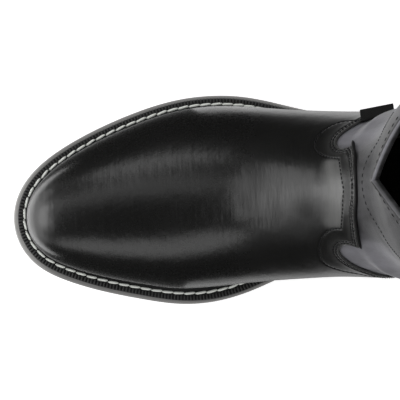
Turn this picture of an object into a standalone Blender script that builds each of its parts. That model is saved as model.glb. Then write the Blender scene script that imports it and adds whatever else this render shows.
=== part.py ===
"""Right roper boot, built piece by piece from named sizes and short section tables.

Sizes and tables are in millimetres and the meshes in metres. The toe points to -X, the heel to +X,
the lateral side to +Y and the floor is Z = 0. Stations run along the sole from the toe tip.
"""
import bmesh
import bpy
import numpy as np

MM = 0.001
LATERAL = 1
MEDIAL = -1
HEEL = 1.0
COLLAR = 2.0
WELD = 0.02
NUDGE = 0.01

# Driving sizes
LENGTH = 305.0
TOE_SPRING = 13.0
HEEL_HEIGHT = 30.0
TREAD_FRONT = 85.0
TREAD_BACK = 122.0
HEEL_SEAT_START = 240.0
HEEL_SEAT_SLOPE = 0.06
HEEL_BREAST_SHARE = 0.725
OUTSOLE_THICK = 5.0
OUTSOLE_ROUND = 1.2
WELT_THICK = 3.2
WELT_STEP = 1.7
INSOLE_THICK = 4.0
HEEL_CAP_THICK = 7.0
HEEL_TAPER = 2.6
HEEL_CAP_DRAFT = 0.3
GAP = 0.35
INSOLE_CLEARANCE = 3.0 * GAP

# Leather
WALL = 2.2
OVERLAY_THICK = 1.3
OVERLAY_GAP = 0.45
SKIN = OVERLAY_THICK + OVERLAY_GAP
SIDE_SEAM = 0.7
SEAM_GAP_SHARE = 0.0016
EDGE_ROWS_START = 0.5
EDGE_ROWS = 4

# Collar, heel blend and side tab
BINDING_RADIUS = 1.7
BINDING_SIDES = 6
COLLAR_DIP = 12.0
COLLAR_DIP_SHARE = 0.34
COLLAR_DIP_START = 1.55
COLLAR_DIP_POWER = 1.3
HEEL_BLEND = 0.16
HEEL_BLEND_SPAN = 0.2
HEEL_BLEND_ACROSS = (0.04, 0.4)
HEEL_BLEND_STEPS = 11
CURL_START = 0.7
FOOT_LIFT = 0.35
HEEL_LIFT = 0.2
SLOPE_STEP = 0.5
TAB_STAND_OFF = 0.35
TAB_THICK = 1.2

# Outsole edge seen from above: station, lateral half width, medial half width
TOE_TIP = (0.0, -6.0)
HEEL_END = (LENGTH, 0.5)
OUTLINE = (
    (4.0, 9.2, -21.5),
    (13.0, 20.5, -31.9),
    (27.0, 30.6, -39.6),
    (45.0, 39.7, -45.9),
    (66.0, 47.7, -51.1),
    (88.0, 53.4, -54.7),
    (107.0, 55.0, -53.8),
    (126.0, 53.2, -48.3),
    (148.0, 47.3, -39.2),
    (175.0, 40.6, -33.2),
    (205.0, 36.6, -31.6),
    (240.0, 35.8, -33.0),
    (270.0, 35.2, -33.6),
    (290.0, 28.5, -27.5),
    (301.0, 14.5, -13.5),
)

# Welt shown outside the upper: share of the half outline, lateral margin, medial margin
MARGINS = (
    (0.0, 8.2, 8.2),
    (0.2, 7.2, 8.6),
    (0.4, 6.8, 9.4),
    (0.55, 5.0, 6.0),
    (0.7, 3.4, 3.4),
    (1.0, 3.0, 3.0),
)

# Front centre line of the upper in side view: station, height
FRONT_LINE = (
    (26.0, 48.5),
    (45.0, 54.0),
    (66.0, 59.2),
    (88.0, 65.6),
    (108.0, 73.5),
    (126.0, 84.0),
    (142.0, 96.5),
    (156.0, 110.5),
    (166.5, 125.0),
    (172.5, 141.0),
    (175.0, 160.0),
    (175.3, 185.0),
    (172.8, 212.0),
    (169.4, 248.0),
)

# Back seam above the feather line in side view: station, height
BACK_LINE = (
    (303.3, 55.0),
    (301.5, 78.0),
    (297.3, 105.0),
    (294.0, 135.0),
    (293.0, 165.0),
    (294.0, 200.0),
    (296.5, 230.0),
    (299.0, 256.0),
)

# Where each section meets the front line: section, reach along the line, sideways shift
FRONT_REACH = (
    (0.0, 0.0, -6.0),
    (0.1, 6.0, -5.5),
    (0.2, 27.0, -4.4),
    (0.3, 54.0, -3.0),
    (0.4, 83.0, -1.6),
    (0.5, 109.0, -0.3),
    (0.6, 132.0, 0.9),
    (0.7, 152.0, 2.0),
    (0.8, 169.0, 3.0),
    (0.9, 182.0, 3.6),
    (1.0, 193.0, 4.0),
    (1.25, 215.0, 4.7),
    (1.5, 238.0, 5.3),
    (1.75, 263.0, 5.2),
    (2.0, 289.0, 4.8),
)

# Widest line of the upper from the waist back: section, station, height, lateral, medial
SIDE_LINE_BLEND = (0.25, 0.36)
SIDE_LINE = (
    (0.25, 67.0, 21.3, 41.0, -43.2),
    (0.3, 83.3, 22.3, 45.7, -45.5),
    (0.35, 99.5, 24.5, 48.5, -45.8),
    (0.4, 115.0, 28.5, 48.6, -44.9),
    (0.45, 129.5, 34.0, 47.0, -43.8),
    (0.5, 143.5, 40.5, 45.1, -43.0),
    (0.6, 171.0, 53.5, 42.2, -42.4),
    (0.7, 196.0, 65.0, 40.6, -43.6),
    (0.8, 216.0, 77.0, 39.7, -42.6),
    (0.9, 230.0, 89.0, 39.6, -41.6),
    (1.0, 236.0, 101.0, 40.8, -42.2),
    (1.25, 236.0, 132.0, 45.0, -46.6),
    (1.5, 235.5, 174.0, 49.5, -50.0),
    (1.75, 235.5, 214.0, 53.0, -48.0),
    (2.0, 235.5, 256.0, 54.2, -41.5),
)

# Shape of each section: section, foot wall height, bulge, side fullness, top fullness, plan slant
SECTION_SHAPE = (
    (0.0, 8.5, 0.2, 0.60, 0.60, 1.0),
    (0.2, 11.0, 0.6, 0.60, 0.58, 1.0),
    (0.4, 16.0, 1.1, 0.56, 0.56, 0.9),
    (0.6, 24.0, 1.4, 0.54, 0.57, 0.4),
    (0.8, 30.0, 1.4, 0.56, 0.62, 0.0),
    (1.0, 30.0, 1.4, 0.64, 0.78, 0.0),
    (1.3, 30.0, 1.4, 0.69, 0.85, 0.0),
    (1.6, 30.0, 1.4, 0.69, 0.83, 0.0),
    (2.0, 30.0, 1.4, 0.60, 0.60, 0.0),
)

# Forward pinch of the shaft's front: section, lateral share, medial share
FRONT_PINCH = (
    (1.0, 0.0, 0.0),
    (1.4, 0.06, 0.1),
    (1.7, 0.15, 0.26),
    (2.0, 0.26, 0.46),
)

# Rows of the upper's mesh
SECTIONS = (0.0, 0.02, 0.045, 0.075, 0.11, 0.15, 0.19, 0.23, 0.27, 0.31, 0.35, 0.39, 0.43, 0.465, 0.5,
            0.55, 0.6, 0.65, 0.7, 0.75, 0.8, 0.84, 0.88, 0.91, 0.94, 0.97, HEEL,
            1.05, 1.12, 1.22, 1.36, 1.52, 1.68, 1.84, COLLAR)

# Columns of the upper's mesh, front to foot
COLUMNS = (1.0, 0.95, 0.9, 0.85, 0.8, 0.75, 0.7, 0.65, 0.6, 0.55,
           0.5, 0.45, 0.4, 0.34, 0.28, 0.22, 0.16, 0.1, 0.05, 0.0)

# Back edge of the vamp, front centre to sole: column, then section and place across on each side
VAMP_EDGE = (
    (1.0, 0.865, 1.0, 0.865, 1.0),
    (0.965, 0.858, 0.97, 0.856, 0.966),
    (0.925, 0.842, 0.93, 0.828, 0.928),
    (0.88, 0.806, 0.876, 0.791, 0.876),
    (0.85, 0.775, 0.842, 0.765, 0.826),
    (0.83, 0.757, 0.824, 0.748, 0.802),
    (0.815, 0.718, 0.819, 0.705, 0.796),
    (0.8, 0.69, 0.812, 0.668, 0.79),
    (0.785, 0.677, 0.798, 0.653, 0.776),
    (0.77, 0.672, 0.778, 0.648, 0.748),
    (0.745, 0.682, 0.743, 0.65, 0.703),
    (0.715, 0.698, 0.718, 0.656, 0.668),
    (0.67, 0.71, 0.68, 0.664, 0.63),
    (0.61, 0.716, 0.62, 0.68, 0.59),
    (0.54, 0.712, 0.55, 0.695, 0.54),
    (0.46, SIDE_SEAM, 0.46, SIDE_SEAM, 0.46),
    (0.36, SIDE_SEAM, 0.36, SIDE_SEAM, 0.36),
    (0.24, SIDE_SEAM, 0.24, SIDE_SEAM, 0.24),
    (0.12, SIDE_SEAM, 0.12, SIDE_SEAM, 0.12),
    (0.0, SIDE_SEAM, 0.0, SIDE_SEAM, 0.0),
)

# Top edge of the heel counter in side view: station, height
COUNTER_TOP = (
    (190.0, 60.5),
    (215.0, 63.0),
    (240.0, 66.0),
    (265.0, 71.0),
    (285.0, 79.0),
    (298.0, 87.0),
    (310.0, 92.0),
)
COUNTER_ROWS_END = 1.36
COUNTER_COLUMNS_END = 0.46
CUTTER_HALF_WIDTH = 60.0
CUTTER_BOTTOM = 20.0

# Side tab on the lateral wing: section, place across, how far it stands out, how far it drops
TAB_EDGE = (
    (0.703, 0.67, 5.6, 8.6),
    (0.757, 0.588, 4.8, 4.4),
)


def spline(rows, flat_start=False):
    """Smooth curve through rows of (parameter, value, value...) as a function of the parameter."""
    table = np.array(rows, float)
    knots = table[:, 0]
    values = table[:, 1:]
    count = len(knots)
    step = np.diff(knots)[:, None]
    slope = np.diff(values, axis=0) / step
    system = np.eye(count)
    right = np.zeros_like(values)
    for i in range(1, count - 1):
        before = step[i - 1, 0]
        after = step[i, 0]
        system[i, i - 1:i + 2] = (before, 2.0 * (before + after), after)
        right[i] = 6.0 * (slope[i] - slope[i - 1])
    if flat_start:
        system[0, :2] = (2.0, 1.0)
        right[0] = 6.0 * slope[0] / step[0]
    bend = np.linalg.solve(system, right)

    def at(parameter):
        place = np.atleast_1d(np.asarray(parameter, float))
        i = np.clip(np.searchsorted(knots, place) - 1, 0, count - 2)
        width = step[i]
        left = (knots[i + 1] - place)[:, None]
        past = (place - knots[i])[:, None]
        cubic = (bend[i] * left ** 3 + bend[i + 1] * past ** 3) / (6.0 * width)
        start = (values[i] / width - bend[i] * width / 6.0) * left
        end = (values[i + 1] / width - bend[i + 1] * width / 6.0) * past
        return cubic + start + end

    return at


def with_lengths(rows):
    """Put the running length along the polyline in front of each row."""
    points = np.array(rows, float)
    run = np.concatenate(([0.0], np.cumsum(np.linalg.norm(np.diff(points, axis=0), axis=1))))
    return np.column_stack((run, points))


def smoothstep(low, high, value):
    share = np.clip((np.asarray(value, float) - low) / (high - low), 0.0, 1.0)
    return share * share * (3.0 - 2.0 * share)


def closed_outline():
    """Closed spline round the outsole edge, with the parameters of the heel end and of a full turn."""
    lateral = [(row[0], row[1]) for row in OUTLINE]
    medial = [(row[0], row[2]) for row in reversed(OUTLINE)]
    loop = [TOE_TIP] + lateral + [HEEL_END] + medial
    lap = 6
    run = with_lengths(loop[-lap:] + loop + loop[:lap + 1])
    run[:, 0] -= run[lap, 0]
    heel = run[lap + len(lateral) + 1, 0]
    turn = run[lap + len(loop), 0]
    return spline(run), heel, turn


# Shares round half the sole, closer together at the toe and the heel
AROUND = np.concatenate((np.linspace(0.0, 0.12, 9), np.linspace(0.15, 0.87, 25), np.linspace(0.89, 1.0, 8)))
OUTLINE_AT, HEEL_PLACE, FULL_TURN = closed_outline()
MARGIN_AT = spline(MARGINS)
FRONT_AT = spline(with_lengths(FRONT_LINE))
REACH_AT = spline(FRONT_REACH, flat_start=True)
SIDE_AT = spline(SIDE_LINE)
SHAPE_AT = spline(SECTION_SHAPE)
PINCH_AT = spline(FRONT_PINCH)


def edge(side, share):
    """Point on the outsole edge and its outward normal; share runs 0 at the toe to 1 at the heel."""
    share = np.atleast_1d(np.asarray(share, float))
    if side == LATERAL:
        place = share * HEEL_PLACE
        nudge = NUDGE
    else:
        place = FULL_TURN - share * (FULL_TURN - HEEL_PLACE)
        nudge = -NUDGE
    along = OUTLINE_AT(place + nudge) - OUTLINE_AT(place - nudge)
    along /= np.linalg.norm(along, axis=1)[:, None]
    outward = side * np.column_stack((-along[:, 1], along[:, 0]))
    return OUTLINE_AT(place), outward


def inset(side, share, distance):
    point, outward = edge(side, share)
    return point - outward * np.reshape(distance, (-1, 1))


def feather_margin(side, share):
    return MARGIN_AT(share)[:, 0 if side == LATERAL else 1]


def sole_rise(station):
    """Height of the outsole's underside over the floor: toe spring, flat tread, waist, heel seat."""
    station = np.asarray(station, float)
    toe = TOE_SPRING * np.clip((TREAD_FRONT - station) / TREAD_FRONT, 0.0, 2.0) ** 2
    seat = HEEL_HEIGHT + (station - LENGTH) * HEEL_SEAT_SLOPE
    seat_start = HEEL_HEIGHT + (HEEL_SEAT_START - LENGTH) * HEEL_SEAT_SLOPE
    span = HEEL_SEAT_START - TREAD_BACK
    share = np.clip((station - TREAD_BACK) / span, 0.0, 1.0)
    ease = share * share * (3.0 - 2.0 * share)
    waist = seat_start * ease + HEEL_SEAT_SLOPE * span * share * share * (share - 1.0)
    return np.where(station > HEEL_SEAT_START, seat, toe + waist)


def welt_bottom(station):
    return sole_rise(station) + OUTSOLE_THICK + GAP


def feather_height(station):
    return welt_bottom(station) + WELT_THICK + GAP


def back_curve():
    heel = inset(LATERAL, 1.0, feather_margin(LATERAL, 1.0))[0]
    start = (heel[0], float(feather_height(heel[0])))
    run = with_lengths((start,) + BACK_LINE)
    return spline(run), run[-1, 0]


BACK_AT, BACK_LENGTH = back_curve()


def feather(side, share):
    flat = inset(side, share, feather_margin(side, share))
    return np.column_stack((flat, feather_height(flat[:, 0])))


def collar_shift(section, across):
    """Drop of the collar towards its front dip, fading down the shaft."""
    near_front = np.clip(1.0 - (1.0 - across) / COLLAR_DIP_SHARE, 0.0, 1.0)
    return -COLLAR_DIP * near_front ** COLLAR_DIP_POWER * smoothstep(COLLAR_DIP_START, COLLAR, section)


def rib_controls(side, section):
    """Foot, side and front points of the sections, with the control points of the two curves between."""
    low = np.minimum(section, HEEL)
    foot = feather(side, low)
    up_back = np.clip(section - HEEL, 0.0, 1.0) * BACK_LENGTH
    back = BACK_AT(up_back)
    back_step = BACK_AT(up_back + SLOPE_STEP) - BACK_AT(up_back - SLOPE_STEP)
    on_back = section > HEEL
    foot[on_back, 0] = back[on_back, 0]
    foot[on_back, 1] = HEEL_END[1]
    foot[on_back, 2] = back[on_back, 1]

    shape = SHAPE_AT(section)
    wall, bulge, full_side, full_top, slant = shape.T
    slant = np.clip(slant, 0.0, 1.0)
    outward = edge(side, low)[1]
    fore = foot.copy()
    fore[:, :2] += outward * bulge[:, None]
    fore[:, 2] += wall
    table = SIDE_AT(np.maximum(section, SIDE_LINE_BLEND[0]))
    rear = np.column_stack((table[:, 0], table[:, 2 if side == LATERAL else 3], table[:, 1]))
    blend = smoothstep(*SIDE_LINE_BLEND, section)[:, None]
    widest = fore * (1.0 - blend) + rear * blend

    reach = REACH_AT(section)
    line = FRONT_AT(reach[:, 0])
    line_step = FRONT_AT(reach[:, 0] + SLOPE_STEP) - FRONT_AT(reach[:, 0] - SLOPE_STEP)
    climb = line_step[:, 1] / np.maximum(line_step[:, 0], SLOPE_STEP / 2.0)
    front = np.column_stack((line[:, 0], reach[:, 1], line[:, 1]))

    axis = np.column_stack(((1.0 - slant) * (front - foot)[:, 0], np.zeros(len(section)),
                            (front - foot)[:, 2]))
    axis /= np.linalg.norm(axis, axis=1)[:, None]
    curl = smoothstep(CURL_START, HEEL, section)
    drop = widest - foot
    along = np.column_stack((-outward[:, 1], outward[:, 0])) * side
    forward = np.where(along[:, :1] * -1.0 + along[:, 1:] * side > 0.0, along, -along)
    plan_run = np.maximum(np.sum(drop[:, :2] * forward, axis=1), 0.0)
    lean = back_step[:, 0] / np.maximum(back_step[:, 1], SLOPE_STEP / 5.0)
    start = np.zeros_like(foot)
    start[:, :2] = (1.0 - curl)[:, None] * FOOT_LIFT * drop[:, :2]
    start[:, :2] += curl[:, None] * (full_side * plan_run)[:, None] * forward
    lift = FOOT_LIFT + HEEL_LIFT * curl
    start[:, :2] += (curl * lift * drop[:, 2] * lean)[:, None] * outward
    start[:, 2] = lift * drop[:, 2]
    low_run = np.linalg.norm(drop[:, ::2], axis=1)
    top_share = np.column_stack((1.0 - slant, np.ones(len(slant))))
    top_run = np.linalg.norm((front - widest)[:, ::2] * top_share, axis=1)
    before = widest - axis * (full_side * low_run)[:, None]
    after = widest + axis * (full_side * top_run)[:, None]
    over = widest - front
    arrive = front.copy()
    pinch = PINCH_AT(np.maximum(section, HEEL))[:, 0 if side == LATERAL else 1]
    arrive[:, 0] += full_top * (slant + np.maximum(pinch, 0.0)) * over[:, 0]
    arrive[:, 1] += full_top * over[:, 1]
    arrive[:, 2] += full_top * slant * over[:, 0] * climb
    return (foot, foot + start, before, widest), (widest, after, arrive, front)


def bezier(controls, share):
    rest = 1.0 - share
    a, b, c, d = controls
    share = share[:, None]
    rest = rest[:, None]
    return a * rest ** 3 + 3.0 * b * rest ** 2 * share + 3.0 * c * rest * share ** 2 + d * share ** 3


def ribs(side, section, across):
    low, top = rib_controls(side, section)
    lower = bezier(low, np.clip(2.0 * across, 0.0, 1.0))
    upper = bezier(top, np.clip(2.0 * across - 1.0, 0.0, 1.0))
    return np.where(across[:, None] < 0.5, lower, upper)


def surface(side, section, across):
    """Outside of the boot; across runs 0 at the foot, 0.5 at the widest line, 1 in front.

    Round the heel each point is a weighted mean over nearby sections, so no crease is left there.
    """
    section = np.asarray(section, float).ravel()
    across = np.asarray(across, float).ravel()
    reach = HEEL_BLEND * np.exp(-((section - HEEL) / HEEL_BLEND_SPAN) ** 2)
    reach *= smoothstep(*HEEL_BLEND_ACROSS, across)
    steps = np.linspace(-1.0, 1.0, HEEL_BLEND_STEPS)
    weights = 1.0 + np.cos(np.pi * steps)
    points = np.zeros((len(section), 3))
    for step, weight in zip(steps, weights / weights.sum()):
        points += weight * ribs(side, section + step * reach, across)
    points[:, 2] += collar_shift(section, across)
    points[:, 0] -= LENGTH / 2.0
    return points


def clear_scene():
    for item in list(bpy.data.objects):
        bpy.data.objects.remove(item, do_unlink=True)


def material(name, colour, roughness):
    made = bpy.data.materials.new(name)
    made.use_nodes = True
    shader = made.node_tree.nodes["Principled BSDF"]
    shader.inputs["Base Color"].default_value = (*colour, 1.0)
    shader.inputs["Roughness"].default_value = roughness
    return made


def solid(name, points, faces, made):
    """Closed mesh object from points in millimetres, welded and facing outward."""
    work = bmesh.new()
    verts = [work.verts.new(point) for point in np.asarray(points, float) * MM]
    for face in faces:
        for k in range(1, len(face) - 1):
            work.faces.new([verts[i] for i in (face[0], face[k], face[k + 1])])
    bmesh.ops.remove_doubles(work, verts=work.verts, dist=WELD * MM)
    bmesh.ops.recalc_face_normals(work, faces=work.faces)
    if work.calc_volume(signed=True) < 0.0:
        bmesh.ops.reverse_faces(work, faces=work.faces)
    mesh = bpy.data.meshes.new(name)
    work.to_mesh(mesh)
    work.free()
    mesh.materials.append(made)
    item = bpy.data.objects.new(name, mesh)
    bpy.context.scene.collection.objects.link(item)
    return item


def skin(domains):
    """Welded open sheet over grids of (section, across) on both sides: points, normals, faces, rim."""
    work = bmesh.new()
    for side, grid in domains.items():
        rows, columns = grid.shape[:2]
        points = surface(side, grid[:, :, 0], grid[:, :, 1])
        verts = [work.verts.new(point) for point in points]
        for i in range(rows - 1):
            for j in range(columns - 1):
                corner = i * columns + j
                beyond = corner + columns
                for ring in ((corner, beyond, beyond + 1), (corner, beyond + 1, corner + 1)):
                    work.faces.new([verts[k] for k in (ring if side == LATERAL else ring[::-1])])
    bmesh.ops.remove_doubles(work, verts=work.verts, dist=WELD)
    bmesh.ops.recalc_face_normals(work, faces=work.faces)
    work.normal_update()
    work.verts.index_update()
    points = np.array([vert.co for vert in work.verts])
    normals = np.array([vert.normal for vert in work.verts])
    if np.sum(normals[:, 1] * points[:, 1]) < 0.0:
        normals = -normals
    faces = [[vert.index for vert in face.verts] for face in work.faces]
    rim = [[vert.index for vert in side.verts] for side in work.edges if len(side.link_faces) == 1]
    work.free()
    return points, normals, faces, rim


def leather_piece(name, domains, inner, outer, made):
    """Solid sheet of leather between two distances from the outside of the boot."""
    points, normals, faces, rim = skin(domains)
    count = len(points)
    both = np.concatenate((points + normals * outer, points + normals * inner))
    foot = np.abs(points[:, 2] - feather_height(points[:, 0] + LENGTH / 2.0)) < WELD
    both[np.concatenate((foot, foot)), 2] = np.concatenate((points[foot, 2], points[foot, 2]))
    walls = [list(face) for face in faces]
    walls += [[i + count for i in reversed(face)] for face in faces]
    walls += [[a, b, b + count, a + count] for a, b in rim]
    return solid(name, both, walls, made)


def vamp_domain(side):
    edge_rows = np.array(VAMP_EDGE)
    columns = edge_rows[:, 0]
    pick = (1, 2) if side == LATERAL else (3, 4)
    rows = [np.column_stack((np.full(len(columns), section), columns))
            for section in SECTIONS if section <= EDGE_ROWS_START]
    start = rows[-1]
    end = edge_rows[:, pick]
    for share in np.linspace(0.0, 1.0, EDGE_ROWS + 1)[1:]:
        rows.append(start + (end - start) * share)
    return np.array(rows)


def upper_domain():
    return np.array([[(section, column) for column in COLUMNS] for section in SECTIONS])


def counter_domain():
    columns = [column for column in COLUMNS if column <= COUNTER_COLUMNS_END]
    rows = [SIDE_SEAM + SEAM_GAP_SHARE]
    rows += [section for section in SECTIONS if SIDE_SEAM < section <= COUNTER_ROWS_END]
    return np.array([[(section, column) for column in columns] for section in rows])


def trim_counter(counter, made):
    """Cut the counter's shell along its top edge, with a prism drawn in side view."""
    outline = [(row[0] - LENGTH / 2.0, row[1]) for row in COUNTER_TOP]
    outline += [(outline[-1][0], CUTTER_BOTTOM), (outline[0][0], CUTTER_BOTTOM)]
    count = len(outline)
    points = [(x, y, z) for y in (-CUTTER_HALF_WIDTH, CUTTER_HALF_WIDTH) for x, z in outline]
    top = count - 2
    faces = [(i, (i + 1) % count, (i + 1) % count + count, i + count) for i in range(count)]
    faces += [tuple(k + shift for k in (count - 1, i, i + 1)) for shift in (0, count) for i in range(top)]
    cutter = solid("counter_cutter", points, faces, made)
    cutter.hide_render = True
    cutter.display_type = "WIRE"
    trim = counter.modifiers.new("trim", "BOOLEAN")
    trim.operation = "INTERSECT"
    trim.solver = "EXACT"
    trim.object = cutter


def plate(name, shares, loops, made):
    """Solid between stacked loops; each loop gives an inset round the sole and a height per station."""
    points = []
    count = len(shares)
    for inset_at, height_at in loops:
        for side in (LATERAL, MEDIAL):
            flat = inset(side, shares, inset_at(side, shares))
            points.append(np.column_stack((flat[:, 0] - LENGTH / 2.0, flat[:, 1], height_at(flat[:, 0]))))
    points = np.concatenate(points)

    faces = []
    last = len(loops) - 1
    for i in range(count - 1):
        for loop in (0, last):
            lateral = 2 * loop * count + i
            faces.append((lateral, lateral + 1, lateral + count + 1, lateral + count))
        for start in (k * count + i for k in range(2 * last)):
            faces.append((start, start + 1, start + 1 + 2 * count, start + 2 * count))
    if shares[0] > 0.0:
        for start in (2 * loop * count for loop in range(last)):
            faces.append((start, start + count, start + 3 * count, start + 2 * count))
    return solid(name, points, faces, made)


def constant(distance):
    return lambda side, shares: np.full(len(shares), distance)


def beside_feather(distance):
    """Inset measured inward from the foot of the upper."""
    return lambda side, shares: feather_margin(side, shares) + distance


def above(height_at, rise):
    return lambda station: height_at(station) + rise


def level(height):
    return lambda station: np.full(len(station), height)


def build_sole(rubber, stacked, cork):
    plate("outsole", AROUND, (
        (constant(OUTSOLE_ROUND), sole_rise),
        (constant(0.0), above(sole_rise, OUTSOLE_ROUND)),
        (constant(0.0), above(sole_rise, OUTSOLE_THICK - OUTSOLE_ROUND)),
        (constant(OUTSOLE_ROUND / 2.0), above(sole_rise, OUTSOLE_THICK)),
    ), rubber)
    plate("insole", AROUND, (
        (beside_feather(SKIN + WALL + INSOLE_CLEARANCE), above(welt_bottom, 0.0)),
        (beside_feather(SKIN + WALL + INSOLE_CLEARANCE), above(welt_bottom, INSOLE_THICK)),
    ), cork)
    behind = np.concatenate(([HEEL_BREAST_SHARE], AROUND[AROUND > HEEL_BREAST_SHARE + NUDGE]))
    plate("heel_block", behind, (
        (constant(HEEL_TAPER), level(HEEL_CAP_THICK + GAP)),
        (constant(OUTSOLE_ROUND), above(sole_rise, -GAP)),
    ), stacked)
    plate("heel_cap", behind, (
        (constant(HEEL_TAPER + OUTSOLE_ROUND), level(0.0)),
        (constant(HEEL_TAPER + HEEL_CAP_DRAFT), level(OUTSOLE_ROUND)),
        (constant(HEEL_TAPER), level(HEEL_CAP_THICK)),
    ), rubber)


def build_welt(made):
    """Strip round the upper on the outsole, from just inside the sole edge to under the wall."""
    corners = (
        (constant(WELT_STEP), 0.0),
        (constant(WELT_STEP), WELT_THICK),
        (beside_feather(SKIN + WALL), WELT_THICK),
        (beside_feather(SKIN + WALL), 0.0),
    )
    loops = []
    for inset_at, rise in corners:
        ring = []
        for side, order in ((LATERAL, AROUND), (MEDIAL, AROUND[::-1])):
            flat = inset(side, order, inset_at(side, order))
            heights = welt_bottom(flat[:, 0]) + rise
            ring.append(np.column_stack((flat[:, 0] - LENGTH / 2.0, flat[:, 1], heights))[:-1])
        loops.append(np.concatenate(ring))
    around = len(loops[0])
    points = np.concatenate(loops)
    faces = []
    for k in range(len(loops)):
        after = (k + 1) % len(loops)
        for i in range(around):
            j = (i + 1) % around
            faces.append((k * around + i, k * around + j, after * around + j, after * around + i))
    solid("welt", points, faces, made)


def build_binding(made):
    """Bead round the collar, standing on the middle of the wall."""
    across = np.array(COLUMNS)
    top = np.full(len(across), COLLAR)
    rim = np.concatenate((surface(LATERAL, top, across)[:-1], surface(MEDIAL, top, across)[::-1][:-1]))
    ahead = np.roll(rim, -1, axis=0) - np.roll(rim, 1, axis=0)
    outward = np.column_stack((ahead[:, 1], -ahead[:, 0], np.zeros(len(rim))))
    outward /= np.linalg.norm(outward, axis=1)[:, None]
    middle = rim[:, :2].mean(axis=0)
    if np.sum(outward[:, :2] * (rim[:, :2] - middle)) < 0.0:
        outward = -outward
    path = rim - outward * (SKIN + WALL / 2.0)
    path[:, 2] += BINDING_RADIUS + OVERLAY_GAP
    upward = np.array((0.0, 0.0, 1.0))
    points = []
    for angle in np.arange(BINDING_SIDES) * 2.0 * np.pi / BINDING_SIDES:
        points.append(path + BINDING_RADIUS * (np.cos(angle) * outward + np.sin(angle) * upward))
    count = len(path)
    faces = []
    for k in range(BINDING_SIDES):
        after = (k + 1) % BINDING_SIDES
        for i in range(count):
            j = (i + 1) % count
            faces.append((k * count + i, k * count + j, after * count + j, after * count + i))
    solid("collar_binding", np.concatenate(points), faces, made)


def build_tab(made):
    """Small fold of fabric that stands out of the lateral wing."""
    points = []
    for section, across, out, drop in TAB_EDGE:
        root = surface(LATERAL, [section], [across])[0] + np.array((0.0, TAB_STAND_OFF, TAB_STAND_OFF))
        tip = root + np.array((0.0, out, -drop))
        slope = np.array((0.0, drop, out)) / np.hypot(out, drop)
        points += [root, tip, tip + slope * TAB_THICK, root + slope * TAB_THICK]
    ring = (0, 1, 2, 3)
    faces = [ring, tuple(i + 4 for i in ring)]
    faces += [(i, (i + 1) % 4, (i + 1) % 4 + 4, i + 4) for i in ring]
    solid("side_tab", np.array(points), faces, made)


def main():
    clear_scene()
    leather = material("upper_leather", (0.02, 0.02, 0.022), 0.35)
    shaft_leather = material("shaft_leather", (0.035, 0.034, 0.036), 0.45)
    rubber = material("sole_rubber", (0.03, 0.028, 0.027), 0.7)
    stacked = material("heel_stack", (0.022, 0.02, 0.02), 0.55)
    welt_leather = material("welt_leather", (0.02, 0.02, 0.02), 0.6)
    cork = material("insole_board", (0.10, 0.08, 0.06), 0.85)
    fabric = material("tab_fabric", (0.012, 0.012, 0.012), 0.9)
    build_sole(rubber, stacked, cork)
    build_welt(welt_leather)
    both = {LATERAL: upper_domain(), MEDIAL: upper_domain()}
    leather_piece("upper", both, -SKIN - WALL, -SKIN, shaft_leather)
    vamp = {side: vamp_domain(side) for side in (LATERAL, MEDIAL)}
    leather_piece("vamp", vamp, -OVERLAY_THICK, 0.0, leather)
    counter = {side: counter_domain() for side in (LATERAL, MEDIAL)}
    trim_counter(leather_piece("counter", counter, -OVERLAY_THICK, 0.0, leather), leather)
    build_binding(shaft_leather)
    build_tab(fabric)


main()
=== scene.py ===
"""Looks of a right roper boot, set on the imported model.

Tables are in millimetres and the meshes in metres. The toe points to -X, the heel to +X and the
lateral side to +Y. A place on the leather is a section and a turn: the section runs 0 at the toe,
1 at the heel and 2 at the collar, and the turn runs 0 at the lateral foot, 1 in front and 2 at the
medial foot.
"""

import bpy
import numpy as np
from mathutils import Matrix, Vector, kdtree, noise


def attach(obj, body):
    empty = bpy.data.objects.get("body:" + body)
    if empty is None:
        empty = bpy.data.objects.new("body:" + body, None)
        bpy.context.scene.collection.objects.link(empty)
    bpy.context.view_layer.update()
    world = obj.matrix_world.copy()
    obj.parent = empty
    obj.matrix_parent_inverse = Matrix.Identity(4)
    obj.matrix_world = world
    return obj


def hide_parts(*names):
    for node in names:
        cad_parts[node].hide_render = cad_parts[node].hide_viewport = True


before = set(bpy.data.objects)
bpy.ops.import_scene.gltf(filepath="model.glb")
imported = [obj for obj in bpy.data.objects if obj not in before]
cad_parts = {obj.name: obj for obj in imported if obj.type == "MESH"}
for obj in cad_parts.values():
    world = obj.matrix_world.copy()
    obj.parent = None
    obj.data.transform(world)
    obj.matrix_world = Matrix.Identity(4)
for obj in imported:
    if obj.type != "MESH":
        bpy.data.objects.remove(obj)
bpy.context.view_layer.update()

bl_info = {
    "name": "Roper boot",
    "version": (1, 0, 0),
    "blender": (4, 5, 0),
    "location": "3D View > Sidebar > Boot",
    "description": "Builds the finished leather, stitching and sole of a roper boot",
    "category": "Object",
}

MM = 0.001
LATERAL = 1
MEDIAL = -1
HEEL = 1.0
COLLAR = 2.0

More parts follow.
